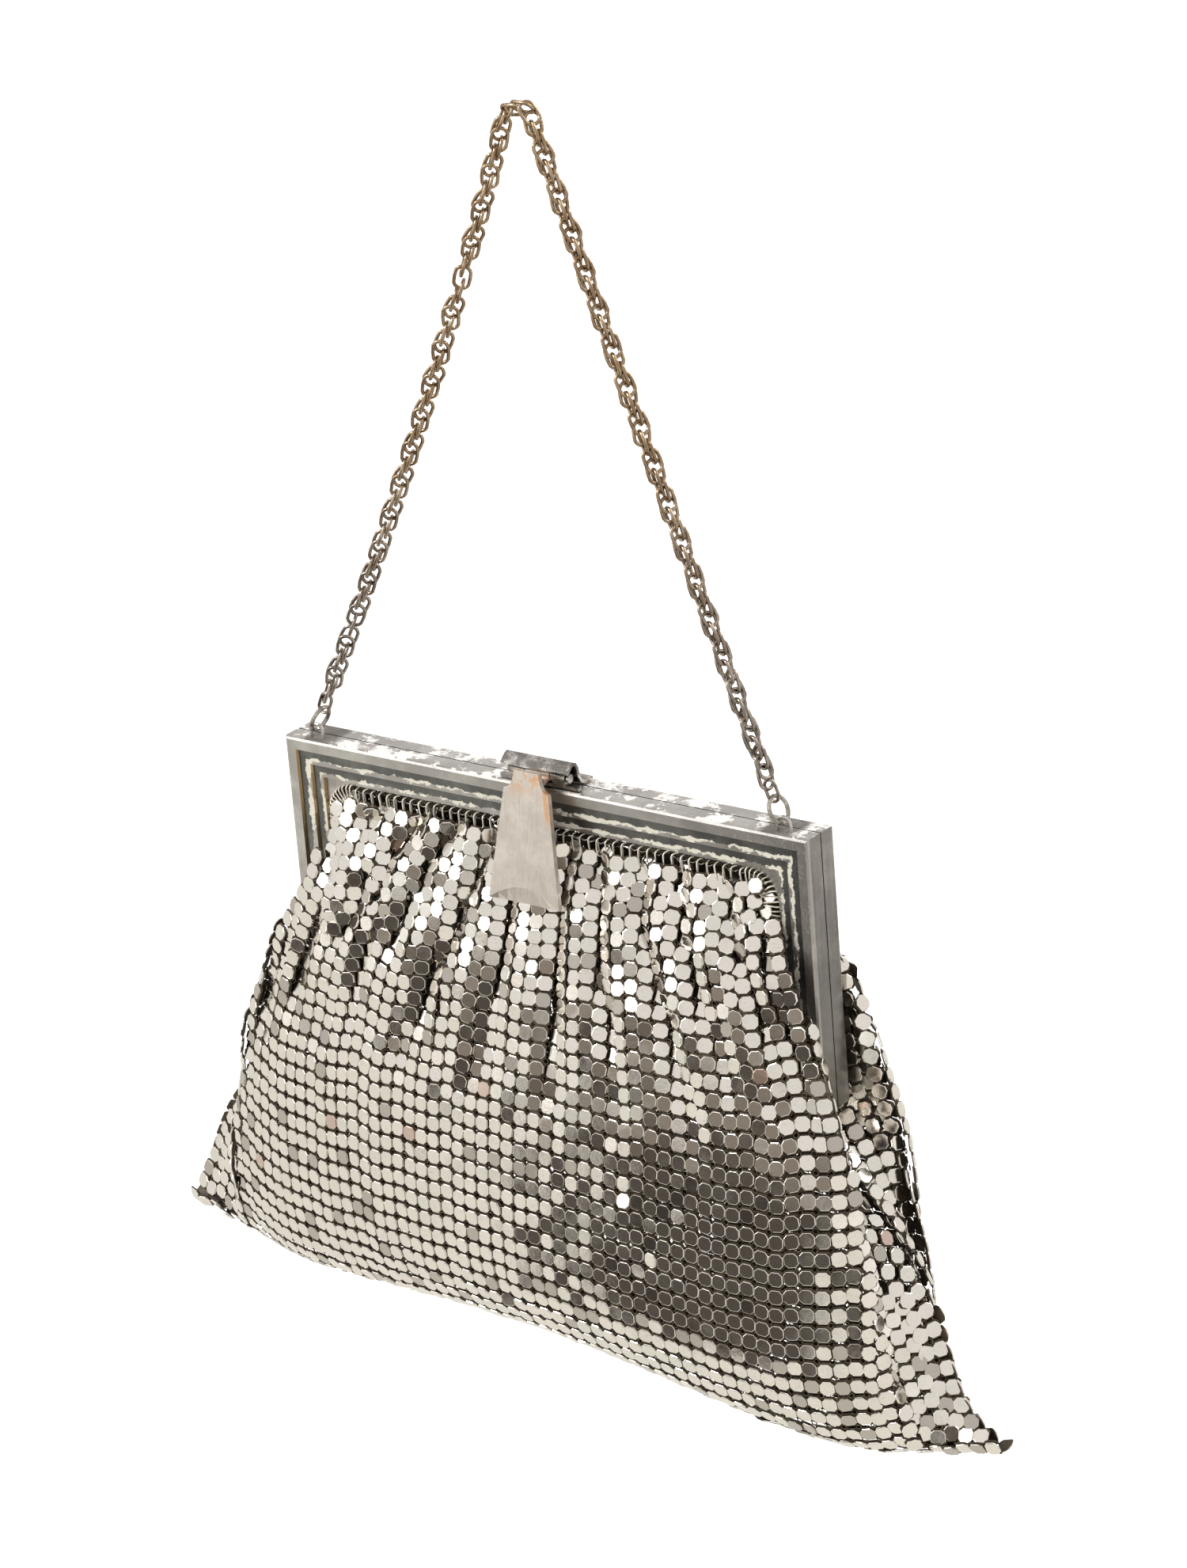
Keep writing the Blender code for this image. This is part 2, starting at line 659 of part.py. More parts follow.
def corner_inset(drop):
    """How far the pouch's ends pull in under the rail's round corners."""
    radius = OPENING_CORNER - (MOUTH_INSET - OPENING_INSET)
    if drop >= radius:
        return 0.0
    return radius - math.sqrt(radius ** 2 - (radius - drop) ** 2)


def row_drop(share):
    """Distance below the mouth, past the frame's feet at 1 and down to the fold at 2."""
    beside = ARM_PASS - MOUTH_INSET
    below = POUCH_DROP - ARM_PASS
    return beside * min(share, 1.0) + below * max(share - 1.0, 0.0)


def pouch_row(values, side, inset):
    """Half of one ring's outline, from mid front to mid back, inset from the outer skin."""
    row = dict(zip(POUCH_COLUMNS, values))
    reach = POUCH_HALF_WIDTH - MOUTH_HALF
    mouth = MOUTH_HALF - corner_inset(row_drop(row["drop"])) - inset
    base = MOUTH_DEPTH + (ARM_FACE - MOUTH_DEPTH) * row["wrap"]

    def depth(column, full):
        return base + row[column] * (full - base) - inset

    edge = mouth + row["edge"] * reach
    tip_inset = inset * 3 * row[side] ** 4
    gusset = mouth + row[side] * reach - tip_inset
    back_edge = mouth + row["back_edge"] * reach
    front = -depth("front", POUCH_FRONT)
    back = depth("back", POUCH_BACK)
    edge_y = -depth("edge_depth", POUCH_FRONT)
    back_edge_y = depth("back_edge_depth", POUCH_BACK)
    middle = (edge_y + back_edge_y) / 2
    arm = ARM_FACE + inset
    pleat = row["pleat"] * PLEAT_DEPTH
    share = 0.5 - 0.2 * row["pleat"]
    loose_front = (
        edge + (gusset - edge) * share - pleat, edge_y * (1 - share) + middle * share)
    loose_back = (
        back_edge + (gusset - back_edge) * share - pleat,
        back_edge_y * (1 - share) + middle * share,
    )
    half = [
        Vector((0, front)),
        Vector((edge * 0.45, front * 0.97 + edge_y * 0.03)),
        Vector((edge * 0.80, front * 0.72 + edge_y * 0.28)),
        Vector((edge, edge_y)),
        Vector(lerp_pair(loose_front, (mouth, -arm), row["wrap"])),
        Vector((gusset, middle)),
        Vector(lerp_pair(loose_back, (mouth, arm), row["wrap"])),
        Vector((back_edge, back_edge_y)),
        Vector((back_edge * 0.80, back * 0.72 + back_edge_y * 0.28)),
        Vector((back_edge * 0.45, back * 0.97 + back_edge_y * 0.03)),
        Vector((0, back)),
    ]
    return row, half


def lerp_pair(start, end, share):
    return tuple(a + (b - a) * share for a, b in zip(start, end))


def spread(points, count):
    """count even steps along the smooth curve through points, its last point left out."""
    route = [Vector((p.x, p.y, 0)) for p in points]
    return [Vector((p.x, p.y)) for p in smooth_route(route, count + 1)[:-1]]


def pouch_half_ring(values, side, inset):
    """Even steps along one half's outline, from mid front to mid back."""
    row, half = pouch_row(values, side, inset)
    quarter = PANEL_SEGMENTS // 2
    front = spread(half[0:4], quarter)
    gusset = spread(half[3:6], GUSSET_SEGMENTS) + spread(half[5:8], GUSSET_SEGMENTS)
    return row, front + gusset + spread(half[7:11], quarter) + [half[10]]


def gathered(row, share):
    """Depth of the gathers at a share of the half width."""
    fade = min(1.0, 6 * (1 - abs(share)))
    fold = 0.5 - 0.5 * math.cos(math.pi * GATHERS * share + 0.9)
    fine = 0.5 + 0.5 * math.sin(2.3 * math.pi * GATHERS * share + 0.4)
    return GATHER_DEPTH * row["gather"] * fade * (0.75 * fold + 0.25 * fine)


def pouch_ring(values, inset):
    """Points right round the pouch, from the middle of the front, with gathers."""
    quarter = PANEL_SEGMENTS // 2
    ring = []
    halves = ((1, "side_right", EAR_LIFT_RIGHT), (-1, "side_left", EAR_LIFT_LEFT))
    for sign, side, lift in halves:
        row, points = pouch_half_ring(values, side, inset)
        wide = max(point.x for point in points)
        sunk = row["drop"] / 2
        swing = Matrix.Rotation(-POUCH_TWIST * sunk ** 2, 2)
        closing = max(sunk - 0.95, 0.0) / 0.05
        low = -MOUTH_INSET - row_drop(row["drop"]) + inset * closing
        last = len(points) - 1
        indices = range(last + 1) if sign > 0 else range(last - 1, 0, -1)
        for index in indices:
            share = sign * points[index].x / wide
            on_panel = index < quarter or index > last - quarter
            wave = gathered(row, share) if on_panel else 0.0
            outward = -1 if index < quarter else 1
            flat = swing @ Vector((sign * points[index].x, points[index].y + outward * wave))
            slant = flat.x * math.tan(POUCH_SLANT) * sunk ** 3
            arch = POUCH_ARCH * sunk ** 8 * max(1 - (share / ARCH_SHARE) ** 2, 0.0) ** 2
            rise = row["lift"] * lift * abs(share) ** 5 + arch
            ring.append(Vector((flat.x, flat.y, low + rise - slant)))
    return ring


def mesh_pouch(name, finish, parent):
    """Hollow shell of the plate mesh, open at the mouth, folded shut along its bottom."""
    bm = bmesh.new()
    skins = []
    for inset in (0.0, POUCH_WALL):
        skin = []
        for values in POUCH_ROWS:
            skin.append([bm.verts.new(point) for point in pouch_ring(values, inset)])
        skins.append(skin)
    around = len(skins[0][0])
    for skin in skins:
        for row, after in zip(skin, skin[1:]):
            for index in range(around):
                turn = (index + 1) % around
                bm.faces.new((row[index], row[turn], after[turn], after[index]))
        last = skin[-1]
        half = around // 2
        quarter = around // 4
        for index in range(-quarter, quarter):
            low = last[index % around]
            low_next = last[(index + 1) % around]
            high = last[(half - index) % around]
            high_next = last[(half - index - 1) % around]
            corners = list(dict.fromkeys((low, low_next, high_next, high)))
            if len(corners) > 2:
                bm.faces.new(corners)
    outer, inner = skins[0][0], skins[1][0]
    for index in range(around):
        turn = (index + 1) % around
        bm.faces.new((outer[index], outer[turn], inner[turn], inner[index]))
    return mesh_object(name, bm, finish, parent, smooth_angle=60)


def empty(name, place, parent=None):
    made = bpy.data.objects.new(name, None)
    made.empty_display_size = 0.01
    bpy.context.scene.collection.objects.link(made)
    made.location = place
    made.parent = parent
    return made


def build():
    for old in list(bpy.data.objects):
        bpy.data.objects.remove(old, do_unlink=True)
    nickel = material("worn_nickel_silver", (0.62, 0.59, 0.55), 0.32)
    tab_metal = material("brushed_tab_metal", (0.60, 0.57, 0.52), 0.38)
    chain_metal = material("aged_brass_chain", (0.42, 0.35, 0.25), 0.35)
    dark_wire = material("dark_rail_wire", (0.10, 0.08, 0.06), 0.55)
    mesh_metal = material("silver_plate_mesh", (0.70, 0.67, 0.62), 0.25)

    purse = empty("purse", (0, 0, 0))
    frame_top = empty("frame_top", FRAME_TOP, purse)
    front = frame_half("front_frame", -1, nickel, frame_top)
    frame_half("back_frame", 1, nickel, frame_top)
    for side, label in ((-1, "left"), (1, "right")):
        add_lug(front, side, nickel, frame_top)
        hinge_link(f"hinge_{label}", side, nickel, frame_top)
        jump_ring(f"jump_ring_{label}", side, nickel, frame_top)
        end_link(f"end_link_{label}", side, chain_metal, frame_top)
    rail("front_rail", -1, dark_wire, frame_top)
    rail("back_rail", 1, dark_wire, frame_top)
    chain("chain", chain_metal, frame_top)
    clasp_base("clasp_base", nickel, frame_top)
    clasp_pin("clasp_pin", nickel, frame_top)
    clasp_hood("clasp_hood", nickel, frame_top)
    tab_axis = empty("tab_axis", BARREL, frame_top)
    clasp_tab("clasp_tab", tab_metal, tab_axis)
    mesh_pouch("mesh_pouch", mesh_metal, frame_top)


build()
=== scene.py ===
import math

import bmesh
import bpy
import numpy as np
from mathutils import Matrix, Vector


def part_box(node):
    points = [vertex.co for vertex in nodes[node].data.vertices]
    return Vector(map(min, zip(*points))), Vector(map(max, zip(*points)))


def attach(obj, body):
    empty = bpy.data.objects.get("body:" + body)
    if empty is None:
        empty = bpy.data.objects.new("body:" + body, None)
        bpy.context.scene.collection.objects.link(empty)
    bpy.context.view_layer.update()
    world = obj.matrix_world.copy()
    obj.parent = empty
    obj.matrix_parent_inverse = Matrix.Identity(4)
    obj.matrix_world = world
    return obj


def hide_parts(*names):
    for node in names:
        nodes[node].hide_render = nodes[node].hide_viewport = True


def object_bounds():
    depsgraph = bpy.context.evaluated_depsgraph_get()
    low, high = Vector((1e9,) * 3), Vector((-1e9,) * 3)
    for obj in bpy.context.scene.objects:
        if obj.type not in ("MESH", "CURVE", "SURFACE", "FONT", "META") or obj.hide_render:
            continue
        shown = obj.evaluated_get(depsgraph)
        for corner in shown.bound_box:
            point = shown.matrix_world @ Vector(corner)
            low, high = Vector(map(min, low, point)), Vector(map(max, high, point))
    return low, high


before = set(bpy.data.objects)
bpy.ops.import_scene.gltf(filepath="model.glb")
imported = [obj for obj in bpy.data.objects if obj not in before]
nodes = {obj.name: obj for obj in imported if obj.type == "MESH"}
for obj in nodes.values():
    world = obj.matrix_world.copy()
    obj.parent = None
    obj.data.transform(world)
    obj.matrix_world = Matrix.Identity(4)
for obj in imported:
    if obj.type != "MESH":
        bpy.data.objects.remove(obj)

frame_bounds = [list(corner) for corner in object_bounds()]
scene = bpy.context.scene

# The stand: a pale floor under the hanging purse, soft lights and the camera at the
# photograph's angle. Cards that only show in reflections stand for the studio round it.
CAMERA_PLACE = Vector((0.68731, -0.87598, 0.28848))
CAMERA_RIGHT = Vector((0.804730, 0.588926, -0.074675))
CAMERA_UP = Vector((-0.161180, 0.337822, 0.927306))
CAMERA_BACK = Vector((0.571342, -0.734195, 0.366779))
CAMERA_LENS = 127.21
CAMERA_SENSOR = 36.0
ROOM_LIGHT = 0.88
FLOOR_Z = frame_bounds[0][2] - 0.060
FLOOR_RADIUS = 5.0
FLOOR_GLOW = 0.35

camera_data = bpy.data.cameras.new("camera")
camera_data.lens = CAMERA_LENS
camera_data.sensor_width = CAMERA_SENSOR
camera_data.clip_end = 30.0
camera = bpy.data.objects.new("camera", camera_data)
turn = Matrix((CAMERA_RIGHT, CAMERA_UP, CAMERA_BACK)).transposed()
camera.matrix_world = Matrix.Translation(CAMERA_PLACE) @ turn.to_4x4()
scene.collection.objects.link(camera)
scene.camera = camera
scene.view_settings.view_transform = "Standard"

world = bpy.data.worlds.new("studio")
world.use_nodes = True
world_light = world.node_tree.nodes["Background"]
world_light.inputs["Color"].default_value = (1.0, 0.985, 0.965, 1.0)
world_light.inputs["Strength"].default_value = ROOM_LIGHT
scene.world = world


def plain_emitter(name, color, strength):
    """A finish that only glows, for the cards."""
    made = bpy.data.materials.new(name)
    made.use_nodes = True
    tree = made.node_tree
    tree.nodes.remove(tree.nodes["Principled BSDF"])
    glow = tree.nodes.new("ShaderNodeEmission")
    glow.inputs["Color"].default_value = (*color, 1.0)
    glow.inputs["Strength"].default_value = strength
    tree.links.new(glow.outputs["Emission"], tree.nodes["Material Output"].inputs["Surface"])
    return made


def add_bmesh(name, bm, finish):
    """An object of its own made from a finished bmesh."""
    mesh = bpy.data.meshes.new(name)
    bm.to_mesh(mesh)
    bm.free()
    mesh.materials.append(finish)
    made = bpy.data.objects.new(name, mesh)
    scene.collection.objects.link(made)
    return made


floor_finish = bpy.data.materials.new("floor")
floor_finish.use_nodes = True
floor_shader = floor_finish.node_tree.nodes["Principled BSDF"]
floor_shader.inputs["Base Color"].default_value = (0.92, 0.92, 0.91, 1.0)
floor_shader.inputs["Roughness"].default_value = 0.9
floor_shader.inputs["Emission Color"].default_value = (1.0, 0.995, 0.985, 1.0)
floor_shader.inputs["Emission Strength"].default_value = FLOOR_GLOW
bm = bmesh.new()
bmesh.ops.create_circle(bm, cap_ends=True, segments=64, radius=FLOOR_RADIUS)
bmesh.ops.translate(bm, verts=bm.verts, vec=(0, 0, FLOOR_Z))
add_bmesh("floor", bm, floor_finish)

CARD_RISE = 0.004
WALL_AWAY = 0.80
WINDOW_AWAY = 0.90
ROOM_DARK = (0.085, 0.074, 0.066)
ROOM_SHADE = (0.27, 0.235, 0.20)


def card(name, corners, color, strength=1.0):
    """A flat card that shows only in reflections, drawn through its corners in order."""
    bm = bmesh.new()
    bm.faces.new([bm.verts.new(corner) for corner in corners])
    made = add_bmesh(name, bm, plain_emitter(name, color, strength))
    made.visible_camera = False
    made.visible_diffuse = False
    made.visible_shadow = False


def at_bearing(bearing, distance, height):
    """A point over the studio floor, its bearing in degrees from the purse's front."""
    angle = math.radians(bearing)
    return (distance * math.sin(angle), -distance * math.cos(angle), FLOOR_Z + height)


def standing_card(name, left, right, distance, low, high, color, strength=1.0):
    """A card on edge between two bearings."""
    corners = ((left, low), (right, low), (right, high), (left, high))
    card(name, [at_bearing(bearing, distance, height) for bearing, height in corners], color, strength)


def lying_card(name, left, right, near, far, color):
    """A card that lies on the floor between two bearings."""
    corners = ((left, near), (right, near), (right, far), (left, far))
    card(name, [at_bearing(bearing, distance, CARD_RISE) for bearing, distance in corners], color)


standing_card("dark_room", -33, 14, WALL_AWAY, 0.0, 0.12, ROOM_DARK)
standing_card("room_shade", -33, 14, WALL_AWAY, 0.12, 0.24, ROOM_SHADE)
lying_card("dark_table", -33, 14, 0.13, WALL_AWAY, ROOM_DARK)
card("pale_floor", [at_bearing(bearing, 2.4, CARD_RISE / 2) for bearing in (-135, -45, 45, 135)],
     (0.90, 0.885, 0.825))
lying_card("dark_side", 122, 152, 0.22, 0.90, (0.40, 0.38, 0.36))
standing_card("window", -52, -28, WINDOW_AWAY, 0.26, 0.62, (1.0, 0.99, 0.97), 3.0)


def soft_light(name, place, size, power):
    """A square lamp turned to the middle of the pouch."""
    data = bpy.data.lights.new(name, "AREA")
    data.shape = "RECTANGLE"
    data.size = size
    data.size_y = size
    data.energy = power
    made = bpy.data.objects.new(name, data)
    aim = (Vector((0.0, -0.01, -0.21)) - Vector(place)).to_track_quat("-Z", "Y")
    made.matrix_world = Matrix.Translation(place) @ aim.to_matrix().to_4x4()
    scene.collection.objects.link(made)


soft_light("key_light", (-0.75, -0.85, 0.85), 0.35, 14.0)
soft_light("rim_light", (0.70, 0.70, 0.90), 0.60, 9.0)


# Frame: two halves of stepped silver-plated sheet, pressed and mitred at the corners and
# hinged at the feet of their arms. The plate has worn to cream patches and grey patina in
# the steps, brass shows on the left arm's edges, and lugs are soldered to the front half.
front_high = Vector(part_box("front_frame")[1])
back_low, back_high = (Vector(corner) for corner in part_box("back_frame"))
FRAME_TOP_Z = back_high.z
FRAME_HALF = (back_high.x - back_low.x) / 2
SEAM_Y = (front_high.y + back_low.y) / 2
HALF_DEPTH = back_high.y - SEAM_Y
FIRST_STEP = 0.00285
SECOND_STEP = 0.00608
THIRD_STEP = 0.00891
PATINA_STARTS = (0.0001, 0.0003)
PATINA_ENDS = (0.0019, 0.0020)
CREAM_ENDS = (0.0024, 0.0026)
LUG_PLACE = 0.0625
LEFT_ARM_X = -0.055
RAYS_INSET = THIRD_STEP + 0.0004
RAYS_REACH = 0.0026
FRAME_SILVER = ((0.44, 0.415, 0.39), (0.60, 0.575, 0.54))
STEP_PATINA = ((0.125, 0.128, 0.122), (0.21, 0.21, 0.195))
BARED_CREAM = (0.66, 0.63, 0.53)
TOP_PAINTED_HIGHLIGHT = (0.86, 0.83, 0.79)
STREAK_GREY = (0.17, 0.163, 0.155)
LUG_PAINTED_SHADOW = (0.10, 0.085, 0.07)
BARED_BRASS = (0.52, 0.36, 0.16)
ENGRAVED_DARK = (0.12, 0.105, 0.08)
INSIDE_PAINTED_SHADE = (0.07, 0.055, 0.04)


def group_of(name, inputs, outputs):
    """An empty node group with its named inputs and outputs."""
    tree = bpy.data.node_groups.new(name, "ShaderNodeTree")
    for label, kind, value in inputs:
        socket = tree.interface.new_socket(label, in_out="INPUT", socket_type=kind)
        socket.default_value = value
    for label in outputs:
        tree.interface.new_socket(label, in_out="OUTPUT", socket_type="NodeSocketFloat")
    return tree, tree.nodes.new("NodeGroupInput"), tree.nodes.new("NodeGroupOutput")


def link(tree, source, target):
    tree.links.new(source, target)


def math_node(tree, operation, first, second=None, third=None, clamp=False):
    made = tree.nodes.new("ShaderNodeMath")
    made.operation = operation
    made.use_clamp = clamp
    for slot, value in zip(made.inputs, (first, second, third)):
        if isinstance(value, (int, float)):
            slot.default_value = value
        elif value is not None:
            link(tree, value, slot)
    return made.outputs["Value"]


def plus(tree, first, second):
    return math_node(tree, "ADD", first, second)


def minus(tree, first, second, clamp=False):
    return math_node(tree, "SUBTRACT", first, second, clamp=clamp)


def times(tree, first, second):
    return math_node(tree, "MULTIPLY", first, second)


def scaled(tree, value, factor, added):
    return math_node(tree, "MULTIPLY_ADD", value, factor, added)


def larger(tree, first, second):
    return math_node(tree, "MAXIMUM", first, second)


def size_of(tree, value):
    return math_node(tree, "ABSOLUTE", value)


def ramp(tree, value, low, high):
    """0 below low, 1 above high, smooth between."""
    made = tree.nodes.new("ShaderNodeMapRange")
    made.interpolation_type = "SMOOTHSTEP"
    link(tree, value, made.inputs["Value"])
    made.inputs["From Min"].default_value = low
    made.inputs["From Max"].default_value = high
    return made.outputs["Result"]


def noise(tree, vector, scale, detail=3.0, roughness=0.55):
    made = tree.nodes.new("ShaderNodeTexNoise")
    link(tree, vector, made.inputs["Vector"])
    made.inputs["Scale"].default_value = scale
    made.inputs["Detail"].default_value = detail
    made.inputs["Roughness"].default_value = roughness
    return made.outputs["Fac"]


def drawn_out(tree, vector, scale, rotation=(0.0, 0.0, 0.0)):
    """Coordinates squeezed on some axes, which draws a pattern out along the others."""
    made = tree.nodes.new("ShaderNodeMapping")
    made.inputs["Scale"].default_value = scale
    made.inputs["Rotation"].default_value = rotation
    link(tree, vector, made.inputs["Vector"])
    return made.outputs["Vector"]


def axes_of(tree, vector):
    made = tree.nodes.new("ShaderNodeSeparateXYZ")
    link(tree, vector, made.inputs["Vector"])
    return made.outputs


def mix_color(tree, share, first, second):
    made = tree.nodes.new("ShaderNodeMix")
    made.data_type = "RGBA"
    slots = (made.inputs["Factor"], made.inputs[6], made.inputs[7])
    for slot, value in zip(slots, (share, first, second)):
        if isinstance(value, tuple):
            slot.default_value = (*value, 1.0)
        else:
            link(tree, value, slot)
    return made.outputs[2]


def bump(tree, height, strength, distance):
    made = tree.nodes.new("ShaderNodeBump")
    made.inputs["Strength"].default_value = strength
    made.inputs["Distance"].default_value = distance
    link(tree, height, made.inputs["Height"])
    return made.outputs["Normal"]


# Tarnish, shared by every metal here: cloudy stains, fine pits and drawn-out scratches
tarnish, start, end = group_of(
    "tarnish",
    (("Vector", "NodeSocketVector", (0, 0, 0)), ("Size", "NodeSocketFloat", 1.0)),
    ("Cloud", "Speck", "Scratch"),
)
enlarged = tarnish.nodes.new("ShaderNodeVectorMath")
enlarged.operation = "SCALE"
link(tarnish, start.outputs["Vector"], enlarged.inputs[0])
link(tarnish, start.outputs["Size"], enlarged.inputs["Scale"])
place = enlarged.outputs["Vector"]
streak = drawn_out(tarnish, place, (1.0, 1.0, 14.0), (0.3, 0.9, 0.5))
link(tarnish, ramp(tarnish, noise(tarnish, place, 90.0, 5.0, 0.65), 0.40, 0.68), end.inputs["Cloud"])
link(tarnish, ramp(tarnish, noise(tarnish, place, 1900.0, 4.0, 0.7), 0.55, 0.75), end.inputs["Speck"])
link(tarnish, ramp(tarnish, noise(tarnish, streak, 260.0, 6.0, 0.75), 0.56, 0.70), end.inputs["Scratch"])


def new_finish(name, tarnish_size):
    """A metal finish with the tarnish group on Object coordinates, and those coordinates."""
    made = bpy.data.materials.new(name)
    made.use_nodes = True
    tree = made.node_tree
    where = tree.nodes.new("ShaderNodeTexCoord").outputs["Object"]
    stains = tree.nodes.new("ShaderNodeGroup")
    stains.node_tree = tarnish
    stains.inputs["Size"].default_value = tarnish_size
    link(tree, where, stains.inputs["Vector"])
    return made, tree, tree.nodes["Principled BSDF"], stains.outputs, where


def dress(finish, *names):
    """Give a finish to pieces that come with the model."""
    for name in names:
        nodes[name].data.materials.clear()
        nodes[name].data.materials.append(finish)


def worn_steps(tree, where, inset, ragged):
    """Grey patina below each step, and the cream plate that is chipped bare beside it."""
    chips = scaled(tree, noise(tree, where, 150.0, 7.0, 0.72), 0.0090, -0.0045)
    wavy = plus(tree, inset, ragged)
    chipped = plus(tree, inset, chips)
    greys = []
    bares = []
    for step in (FIRST_STEP, SECOND_STEP):
        near = ramp(tree, inset, *(step + reach for reach in PATINA_STARTS))
        grey_end = ramp(tree, wavy, *(step + reach for reach in PATINA_ENDS))
        bare_end = ramp(tree, chipped, *(step + reach for reach in CREAM_ENDS))
        greys.append(minus(tree, near, grey_end, clamp=True))
        bares.append(minus(tree, near, bare_end, clamp=True))
    grey = larger(tree, *greys)
    return grey, minus(tree, larger(tree, *bares), grey, clamp=True)


def upright_streaks(tree, where, sideways, inset, from_top):
    """Grey streaks down the outer sides of the arms, darker towards the bottom."""
    runs = ramp(tree, noise(tree, drawn_out(tree, where, (1.0, 1.0, 0.06)), 700.0, 4.0, 0.6), 0.35, 0.70)
    outer = times(tree, ramp(tree, sideways, 0.7, 0.9), math_node(tree, "LESS_THAN", inset, 0.0008))
    lower = ramp(tree, scaled(tree, runs, 0.018, from_top), 0.006, 0.045)
    return times(tree, times(tree, outer, lower), 0.50)


def engraved_rays(tree, from_side, from_top):
    """A fan of rays engraved in the spandrel of each corner."""
    x = minus(tree, from_side, RAYS_INSET)
    z = minus(tree, from_top, RAYS_INSET)
    turned = times(tree, math_node(tree, "ARCTAN2", z, x), 28.0)
    far_out = math_node(tree, "SQRT", plus(tree, times(tree, x, x), times(tree, z, z)))
    ray = ramp(tree, math_node(tree, "COSINE", turned), 0.55, 0.85)
    for axis in (x, z):
        ray = times(tree, ray, math_node(tree, "GREATER_THAN", axis, 0.0))
    ray = times(tree, ray, ramp(tree, far_out, 0.0004, 0.0006))
    return times(tree, ray, math_node(tree, "LESS_THAN", far_out, RAYS_REACH))


def frame_finish(name, inward):
    """Worn plate over a half, with a painted highlight on its top faces, painted shadow of the lugs round
    them and painted shade on its inside faces. inward is 1 where its inside faces back, -1 where forward.
    """
    made, tree, shader, stains, where = new_finish(name, 1.0)
    x, _, z = axes_of(tree, where)
    facing = axes_of(tree, tree.nodes.new("ShaderNodeNewGeometry").outputs["Normal"])
    sideways = size_of(tree, facing["X"])
    upward = ramp(tree, facing["Z"], 0.6, 0.9)
    side = size_of(tree, x)
    from_side = minus(tree, FRAME_HALF, side)
    from_top = minus(tree, FRAME_TOP_Z, z)
    inset = math_node(tree, "MINIMUM", from_side, from_top)
    ragged = scaled(tree, noise(tree, where, 330.0, 7.0, 0.75), 0.0034, -0.0017)

    grey, cream = worn_steps(tree, where, inset, ragged)
    silver = mix_color(tree, stains["Cloud"], *FRAME_SILVER)
    creamy = mix_color(tree, times(tree, cream, 0.8), silver, BARED_CREAM)
    patina = mix_color(tree, stains["Cloud"], *STEP_PATINA)
    stepped = mix_color(tree, times(tree, grey, 0.95), creamy, patina)
    # Pale, less metallic blotches on the upward faces: painted highlight of the light from above on the
    # top faces
    top_painted_highlight = times(tree, upward, ramp(tree, noise(tree, where, 130.0, 7.0, 0.75), 0.51, 0.55))
    topped = mix_color(tree, top_painted_highlight, stepped, TOP_PAINTED_HIGHLIGHT)
    streaks = upright_streaks(tree, where, sideways, inset, from_top)
    streaked = mix_color(tree, streaks, topped, STREAK_GREY)

    # Painted shadow of the lugs: dark on the top faces round them
    lug_away = size_of(tree, minus(tree, side, LUG_PLACE - 0.001))
    lug_near = minus(tree, 1.0, ramp(tree, plus(tree, lug_away, ragged), 0.0030, 0.0050))
    lug_painted_shadow = times(tree, lug_near, times(tree, upward, 0.85))
    lug_shadowed = mix_color(tree, lug_painted_shadow, streaked, LUG_PAINTED_SHADOW)

    # Brass where the plate has gone from the risers of the left arm
    left = math_node(tree, "LESS_THAN", x, LEFT_ARM_X)
    riser = times(tree, ramp(tree, sideways, 0.35, 0.75), ramp(tree, inset, 0.0020, 0.0026))
    golden = mix_color(tree, times(tree, times(tree, left, riser), 0.85), lug_shadowed, BARED_BRASS)
    rays = engraved_rays(tree, from_side, from_top)
    marked = mix_color(tree, times(tree, rays, 0.75), golden, ENGRAVED_DARK)
    # Inside faces of the half painted dark brown: painted shade in the mouth
    inside = ramp(tree, times(tree, facing["Y"], inward), 0.2, 0.5)
    link(tree, mix_color(tree, inside, marked, INSIDE_PAINTED_SHADE), shader.inputs["Base Color"])

    dull = larger(tree, larger(tree, cream, top_painted_highlight), lug_painted_shadow)
    link(tree, scaled(tree, dull, -0.55, 0.98), shader.inputs["Metallic"])
    rough = scaled(tree, stains["Scratch"], 0.14, 0.30)
    link(tree, scaled(tree, dull, 0.22, rough), shader.inputs["Roughness"])
    pits = scaled(tree, cream, -0.6, times(tree, stains["Speck"], 0.4))
    link(tree, bump(tree, pits, 0.5, 0.00012), shader.inputs["Normal"])
    return made


dress(frame_finish("front_frame_silver", 1.0), "front_frame")
dress(frame_finish("back_frame_silver", -1.0), "back_frame")


# Small fittings: the hinges, the clasp's riveted base plate and its pin are silver-plated
# brass, the hood is one bent sheet of it, more polished, the rails are dark steel wire, and
# the jump rings are silvered wire closed round the lugs. Their shapes come with the model.
def plain_metal(name, light, dark, roughness, metallic=1.0, size=1.0):
    """Silver or brass with cloudy stains, for small pieces."""
    made, tree, shader, stains, _ = new_finish(name, size)
    link(tree, mix_color(tree, stains["Cloud"], dark, light), shader.inputs["Base Color"])
    shader.inputs["Metallic"].default_value = metallic
    link(tree, scaled(tree, stains["Scratch"], 0.15, roughness), shader.inputs["Roughness"])
    link(tree, bump(tree, stains["Speck"], 0.3, 0.00005), shader.inputs["Normal"])
    return made


